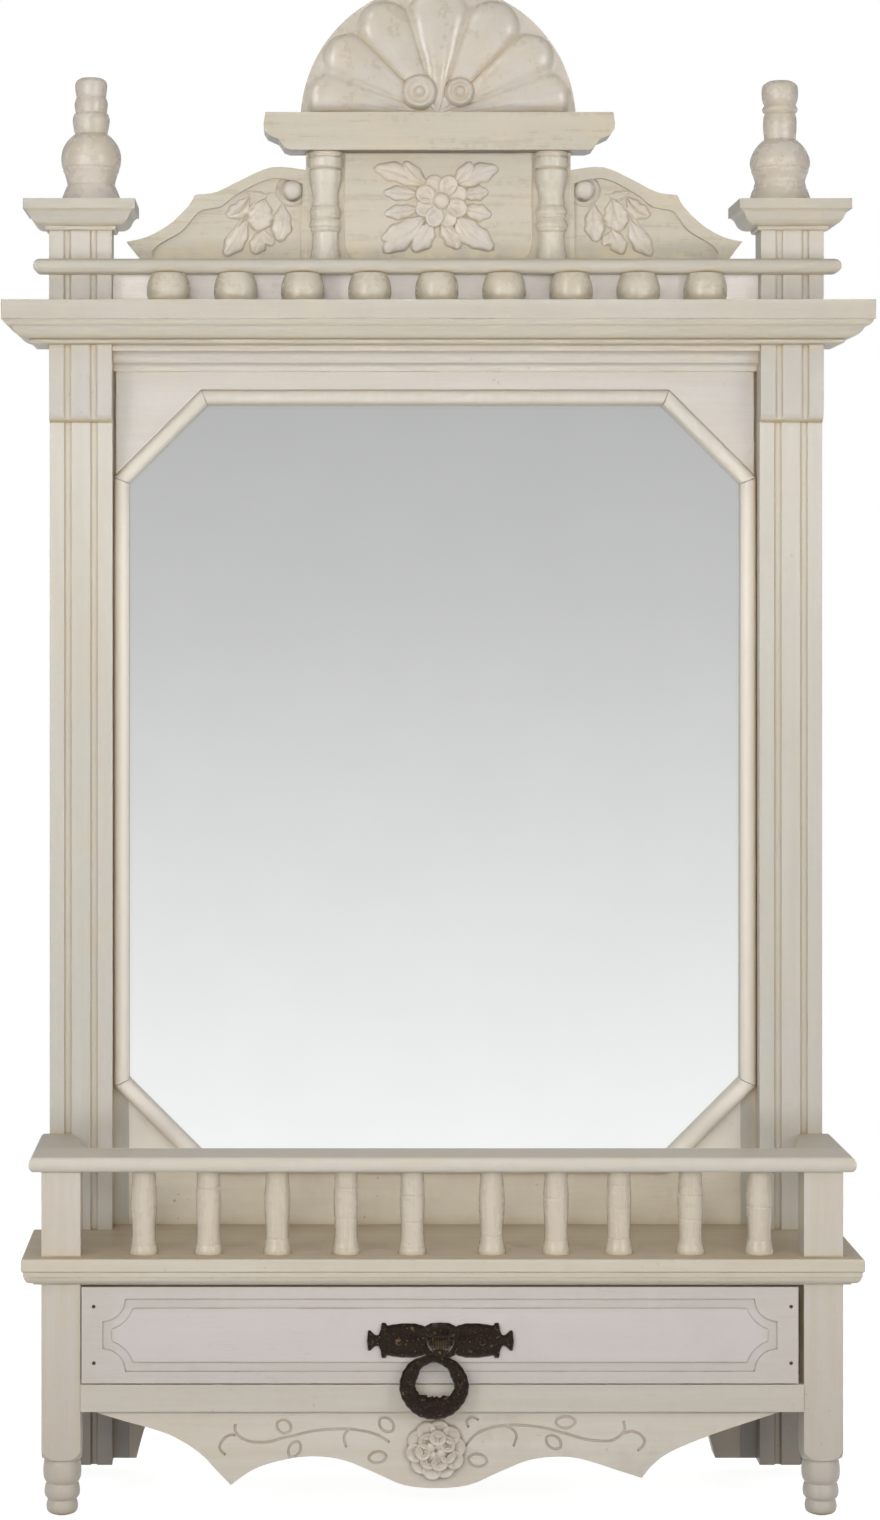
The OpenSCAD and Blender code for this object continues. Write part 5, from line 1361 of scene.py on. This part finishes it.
@dataclass
class Shelf:
    """Shelf, gallery, legs and apron. Sizes in millimetres."""

    spindle_r: float = 9.6
    drift: Sequence[float] = (3.0, 0.0, 0.0, 0.0, -1.8, 5.5, 2.4, -1.8, 0.0, 0.0)
    spindle_shape: Sequence[Point] = (
        (1.0, 0.0), (1.0, 0.05), (0.9, 0.12), (0.84, 0.2), (0.83, 0.3), (0.87, 0.42), (0.9, 0.55),
        (0.905, 0.68), (0.87, 0.8), (0.84, 0.9), (0.85, 1.0))
    rings: Sequence[Sequence[float]] = (
        (6.5,), (6.8, 45.7), (11.0,), (4.0, 24.8, 45.7), (4.4, 22.0, 40.8), (12.5,), (9.6, 38.7),
        (11.0, 31.8, 47.7), (24.1, 40.8), (9.6, 33.0))
    swelling: Sequence[float] = (0.7, 0.1, 0.6, -0.2, 0.0, 0.7, 0.2, -0.3, 0.1, 0.5)
    vines: Sequence[Sequence[Point]] = (
        ((-32.3, -21.7), (-42, -16.2), (-57.9, -12.8), (-72.4, -12.8), (-85.5, -14.1), (-97.2, -16.9),
         (-106.9, -19), (-115.2, -21.4), (-123.5, -21.7), (-129.7, -21), (-135.2, -18.3), (-138.7, -14.1),
         (-138.7, -9.3)),
        ((-138.7, -16.9), (-142.8, -16.9), (-147, -19.7), (-149.7, -24.5), (-148.4, -28), (-145.6, -30.4)),
        ((-60.6, -13.1), (-63.4, -16.9), (-63.4, -21), (-62, -25.2)),
        ((18.8, -25.9), (25.7, -17.6), (34, -12.8), (46.4, -10.3), (59.6, -10), (75.4, -12.1), (90.6, -16.2),
         (103.1, -19.7), (114.1, -21), (121.7, -20.4), (127.2, -16.9), (130, -12.8), (129.3, -7.2)),
        ((129.3, -15.5), (134.8, -14.1), (140.4, -16.2), (143.8, -20.4), (142.4, -24.5), (139, -27.6)),
        ((48.5, -10.7), (53.3, -13.4), (55.4, -17.6), (53.3, -24.5)),
        ((29.2, -6.5), (24.3, -4.1), (20.9, -7.2), (22.3, -11.4)))
    ovals: Sequence[tuple[Point, float, float, float]] = (
        ((-105.2, -11), 5.2, 4.5, -30), ((-97.9, -26.6), 5.9, 3.9, 62), ((-34.4, -9.6), 5.9, 4.4, -45),
        ((-40.6, -32.1), 6.1, 3.9, 8), ((28.5, -34.2), 6.6, 4.3, -10), ((81, -21.7), 5.9, 4.1, -38),
        ((89.3, -7.9), 6.8, 4.1, 3))
    line: float = 2.0
    line_depth: float = 1.1
    ring: float = 0.5
    ring_depth: float = 0.45
    swell_depth: float = 0.6
    disc_r: float = 19.0
    disc_h: float = 2.0
    petal_size: Place = (0.95, 1.05, 1.0)
    petal_lift: float = 0.4

    def build(self) -> None:
        """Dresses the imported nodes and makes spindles, apron and rosette."""
        WORKSHOP.dress(SHELF, "shelf_board", "under_shelf_board")
        WORKSHOP.dress(RAIL, "gallery_front_rail", "drawer_rail")
        WORKSHOP.dress(CREAM, "gallery_side_rails", "side_panels")
        WORKSHOP.dress(LEG, "left_leg", "right_leg", "gallery_posts")
        WORKSHOP.dress(BARE, "drawer_runners")
        self.spindles()
        self.apron()
        self.rosette()

    def spindles(self) -> None:
        """Turns the spindles, each with its own scribed rings and swelling."""
        board, rail = NodeBox.of("shelf_board"), NodeBox.of("gallery_front_rail")
        row = NodeBox.of("gallery_spindles")
        tall = rail.low - board.high
        first = row.left + self.spindle_r - self.drift[0]
        pitch = (row.right - self.spindle_r - first) / (len(self.rings) - 1)
        curve = curve_through(self.spindle_shape, 8)
        shape = Shape()
        for k, (rings, swell) in enumerate(zip(self.rings, self.swelling)):

            def cut(share: float) -> float:
                """Returns what rings and swelling take off the radius."""
                grooves = sum(self.ring_depth * bell(tall * share - ring, self.ring) for ring in rings)
                return grooves - self.swell_depth * swell * bell(share - 0.62, 0.2)

            shape.take(lathe(turned(curve, self.spindle_r, tall, 96, cut), 28),
                       upright(first + pitch * k + self.drift[k], row.middle[1], board.high))
        shape.finish("turned_spindles", TURNED, Body.FRAME, "turned_paint", ["gallery_spindles"],
                     crease=55.0, seen_in_glass=False)

    @staticmethod
    def _oval(centre: Point, long_r: float, short_r: float, turn: float) -> list[Point]:
        """Returns the closed outline of one leaf of the vine, turned by an angle in degrees."""
        lean = math.radians(turn)
        loop = []
        for k in range(13):
            a = 2.0 * math.pi * (k % 12) / 12
            u = long_r * math.cos(a)
            v = short_r * math.sin(a) * (1.0 - 0.22 * math.cos(a) ** 4)
            loop.append((centre[0] + u * math.cos(lean) - v * math.sin(lean),
                         centre[1] + u * math.sin(lean) + v * math.cos(lean)))
        return loop

    def apron(self) -> None:
        """Scribes the vine with its leaves into the apron."""
        box = NodeBox.of("apron")
        strands = [Strand(path, self.line, self.line_depth) for path in self.vines]
        strands += [Strand(self._oval(*oval), self.line, self.line_depth, closed=True) for oval in self.ovals]
        cutter = Shape()
        for strand in strands:
            cutter.take(strand.cutter(), on_face(box.middle[0], box.front, box.high))
        shape = Shape.copy_of("apron").carve(cutter)
        shape.finish("scribed_apron", APRON, Body.FRAME, "carved_paint", ["apron"], crease=30.0,
                     seen_in_glass=False)

    def rosette(self) -> None:
        """Carves the rosette with two rings of petals around a bud."""
        box = NodeBox.of("apron_rosette")
        x, _, z = box.middle
        centre, lift, size = (x, box.back + self.petal_lift, z), self.petal_lift, self.petal_size
        shape = Shape()
        shape.take(dome(self.disc_r, self.disc_h, 40), on_face(x, box.back, z))
        shape.petals(lambda: dish(6.6, 3.2, 20), 10, 14.6, 8.0, centre, lift, size)
        shape.petals(lambda: dish(6.0, 4.6, 20), 7, 9.0, 30.0, centre, lift, size)
        shape.petals(lambda: dome(4.4, 4.6, 20), 4, 4.2, 60.0, centre, lift, size)
        shape.finish("carved_rosette", APRON, Body.FRAME, "carved_paint", ["apron_rosette"], crease=62.0,
                     seen_in_glass=False)


@dataclass
class Drawer:
    """Drawer with its cast handle. Sizes in millimetres."""

    field_side: float = 21.0
    field_edge: float = 14.5
    half_plate: float = 50.4
    hub_size: Place = (9.8, 10.9, 13.2)
    slot_low: float = -30.0
    slot_depth: float = 21.0
    slots: Sequence[Point] = ((5.2, 5.5), (-5.8, 20.0))
    plate_outline: Sequence[Point] = (
        (0.0, 12.4), (6.0, 12.2), (9.0, 10.8), (10.6, 9.8), (13.0, 10.8), (18.0, 11.9), (26.0, 11.9),
        (32.0, 11.2), (36.6, 10.4), (37.6, 12.2), (40.2, 12.3), (41.2, 7.0), (42.2, 4.2), (43.4, 3.6),
        (45.0, 4.0), (46.6, 5.4), (47.9, 6.9), (49.6, 7.2), (50.3, 6.2), (50.4, 0.0))
    studs: Sequence[Sequence[float]] = (
        (2.3, 1.3, 14, 7.6, 11.6, 7.4), (1.6, 1.1, 12, 39.2, 2.6, 9.4), (1.6, 1.1, 12, 39.2, 2.6, -9.4),
        (2.2, 1.4, 14, 48.3, 2.4, 0.0))
    ring_centre: Point = (-6.0, 82.0)
    ring_outer: Sequence[Point] = (
        (0.0, 23.8), (45.0, 23.4), (70.0, 22.6), (90.0, 23.4), (110.0, 22.6), (135.0, 24.0), (180.0, 24.0),
        (225.0, 22.8), (270.0, 22.2), (315.0, 22.6), (360.0, 23.8))
    ring_inner: Sequence[Point] = (
        (0.0, 13.6), (30.0, 13.2), (60.0, 15.6), (90.0, 17.0), (120.0, 15.8), (150.0, 13.0), (180.0, 12.8),
        (199.0, 11.6), (225.0, 7.8), (270.0, 6.2), (315.0, 8.2), (334.0, 12.2), (360.0, 13.6))
    pearls: Sequence[Sequence[float]] = (
        (-3.2, -15.2, 2.3), (3.4, -16.6, 2.0), (-17.5, 6.0, 1.7), (17.6, 4.0, 1.7), (-13.0, -12.5, 1.6),
        (13.5, -12.0, 1.6))

    def build(self) -> None:
        """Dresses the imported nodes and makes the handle."""
        front = NodeBox.of("drawer_front")
        inner = (front.left + self.field_side, front.right - self.field_side, front.low + self.field_edge,
                 front.high - self.field_edge)
        WORKSHOP.dress(replace(LILAC, inner=tuple(value / PER_METRE for value in inner)), "drawer_front")
        WORKSHOP.dress(BARE, "drawer_sides", "drawer_back")
        WORKSHOP.dress(BOARD, "drawer_bottom")
        WORKSHOP.dress(RUSTED, "drawer_nails")
        WORKSHOP.dress(BRONZE, "handle_screws", "bail_pin")
        self.pivot = NodeBox.of("bail_pin").middle
        self.plate()
        self.bail()

    @staticmethod
    def _between(table: Sequence[Point], place: float) -> float:
        """Returns the value of a table at a place, eased between its entries."""
        for (a, low), (b, high) in zip(table, table[1:]):
            if place <= b:
                t = (place - a) / (b - a)
                return low + (high - low) * t * t * (3.0 - 2.0 * t)
        return table[-1][1]

    def _plate_point(self, u: float, v: float) -> Vector:
        """Returns a point of the back plate's front."""
        across = abs(u) * self.half_plate
        half = self._between(self.plate_outline, across)
        body = rounded(min(1.0, abs(across - 25.0) / 13.5), 4.0)
        lift = 2.2 * rounded(v, 5.0) + 1.7 * body * bell(v, 0.4) + 0.7 * bell(abs(v) - 0.74, 0.1) * body
        leafage = 0.55 * math.sin(1.15 * across + 2.2 * v) * math.cos(5.2 * v) * (1.0 - body * bell(v, 0.5))
        ears = 0.9 * bell(across - 39.0, 1.6) * bell(abs(v) - 0.8, 0.25) + 0.9 * bell(across - 48.2, 1.5)
        ring = math.hypot(across - 30.0, half * v)
        medallion = (0.9 * bell(ring - 4.4, 0.9) + 0.8 * bell(ring, 1.6)) * bell(across - 30.0, 9.0)
        rise = lift + (leafage * (1.0 - bell(ring, 6.0)) + ears + medallion) * rounded(v, 8.0)
        return Vector((u * self.half_plate, half * v, max(0.0, rise)))

    def plate(self) -> None:
        """Casts the back plate with its relief and the hub that holds the pin."""
        back = NodeBox.of("handle_plate").back
        x, forward, z = self.pivot
        hub = Shape()
        hub.take(dome(1.0, 1.0, 36, 0.05), on_face(x, back + 0.4, z + 1.6, 0.0, self.hub_size))
        slot = Shape()
        for high, half in self.slots:
            block = bmesh.new()
            bmesh.ops.create_cube(block, size=1.0)
            slot.take(block, upright(x, forward + 5.6, z + 0.5 * (self.slot_low + high))
                      @ Matrix.Diagonal((2.0 * half, self.slot_depth, high - self.slot_low, 1.0)))
        shape = Shape()
        shape.take(relief(150, 22, self._plate_point, 0.0), on_face(x, back, z))
        shape.take(hub.carve(slot).mesh)
        for side in (-1.0, 1.0):
            for size, tall, steps, dx, lift, dz in self.studs:
                shape.take(dome(size, tall, steps), on_face(x + side * dx, back + lift, z + dz))
        shape.finish("cast_plate", BRONZE, Body.DRAWER, "dark_bronze", ["handle_plate"], crease=50.0,
                     seen_in_glass=False)

    def _ring_point(self, u: float, v: float) -> Vector:
        """Returns a point of the bail's ring."""
        turn = 180.0 * (u + 1.0)
        angle, round_turn = math.radians(turn), math.pi * v
        low = max(0.0, -math.sin(angle))
        outer = self._between(self.ring_outer, turn)
        inner = self._between(self.ring_inner, turn) + 0.55 * math.cos(math.radians(turn * 12.0)) * low
        half, middle = 0.5 * (outer - inner), 0.5 * (outer + inner)
        ornament = 0.45 * math.sin(16.0 * angle + 3.0 * math.cos(round_turn)) + 0.3 * math.cos(7.0 * angle)
        depth = (3.7 + 1.2 * low) * math.sin(round_turn) + ornament * max(0.0, math.sin(round_turn)) * 0.7
        r = middle + half * math.cos(round_turn) * (1.0 + 0.03 * math.sin(24.0 * angle))
        return Vector((r * math.cos(angle), r * math.sin(angle), min(depth, 5.1)))

    def bail(self) -> None:
        """Casts the bail: a ribbed head on the pin, and the ring with its scalloped opening."""
        x, forward, z = self.pivot
        centre_x, centre_z = self.ring_centre
        shape = Shape()
        shape.take(field(120, 18, self._ring_point), on_face(centre_x, forward, centre_z))
        ribs = [(4.3 + 0.35 * math.cos(k * math.pi * 0.75), -5.1 + 10.2 * k / 24) for k in range(1, 24)]
        head = lathe([(0.0, -5.1), (4.0, -5.1), *ribs, (4.0, 5.1), (0.0, 5.1)], 26)
        shape.take(head, upright(x, forward, z) @ Matrix.Rotation(math.radians(90.0), 4, "Y"))
        neck = lathe([(0.0, -5.0), (3.6, -4.0), (4.4, 0.0), (3.6, 4.0), (0.0, 5.0)], 20)
        shape.take(neck, upright(x - 1.2, forward, z - 5.4) @ Matrix.Diagonal((1.0, 0.8, 1.0, 1.0)))
        for dx, dz, size in self.pearls:
            shape.take(dome(size, 1.5, 14), on_face(centre_x + dx, forward + 3.5, centre_z + dz))
        shape.finish("cast_bail", BRONZE, Body.BAIL, "dark_bronze", ["bail"], crease=60.0,
                     seen_in_glass=False)


def main() -> None:
    """Builds the studio and every sub-assembly in order."""
    logging.basicConfig(level=logging.INFO, format="%(name)s: %(message)s")
    for part in (Studio(), WallFrame(), Cornice(), Crest(), Shelf(), Drawer()):
        part.build()
        log.info("built %s", type(part).__name__)


if __name__ == "__main__":
    main()
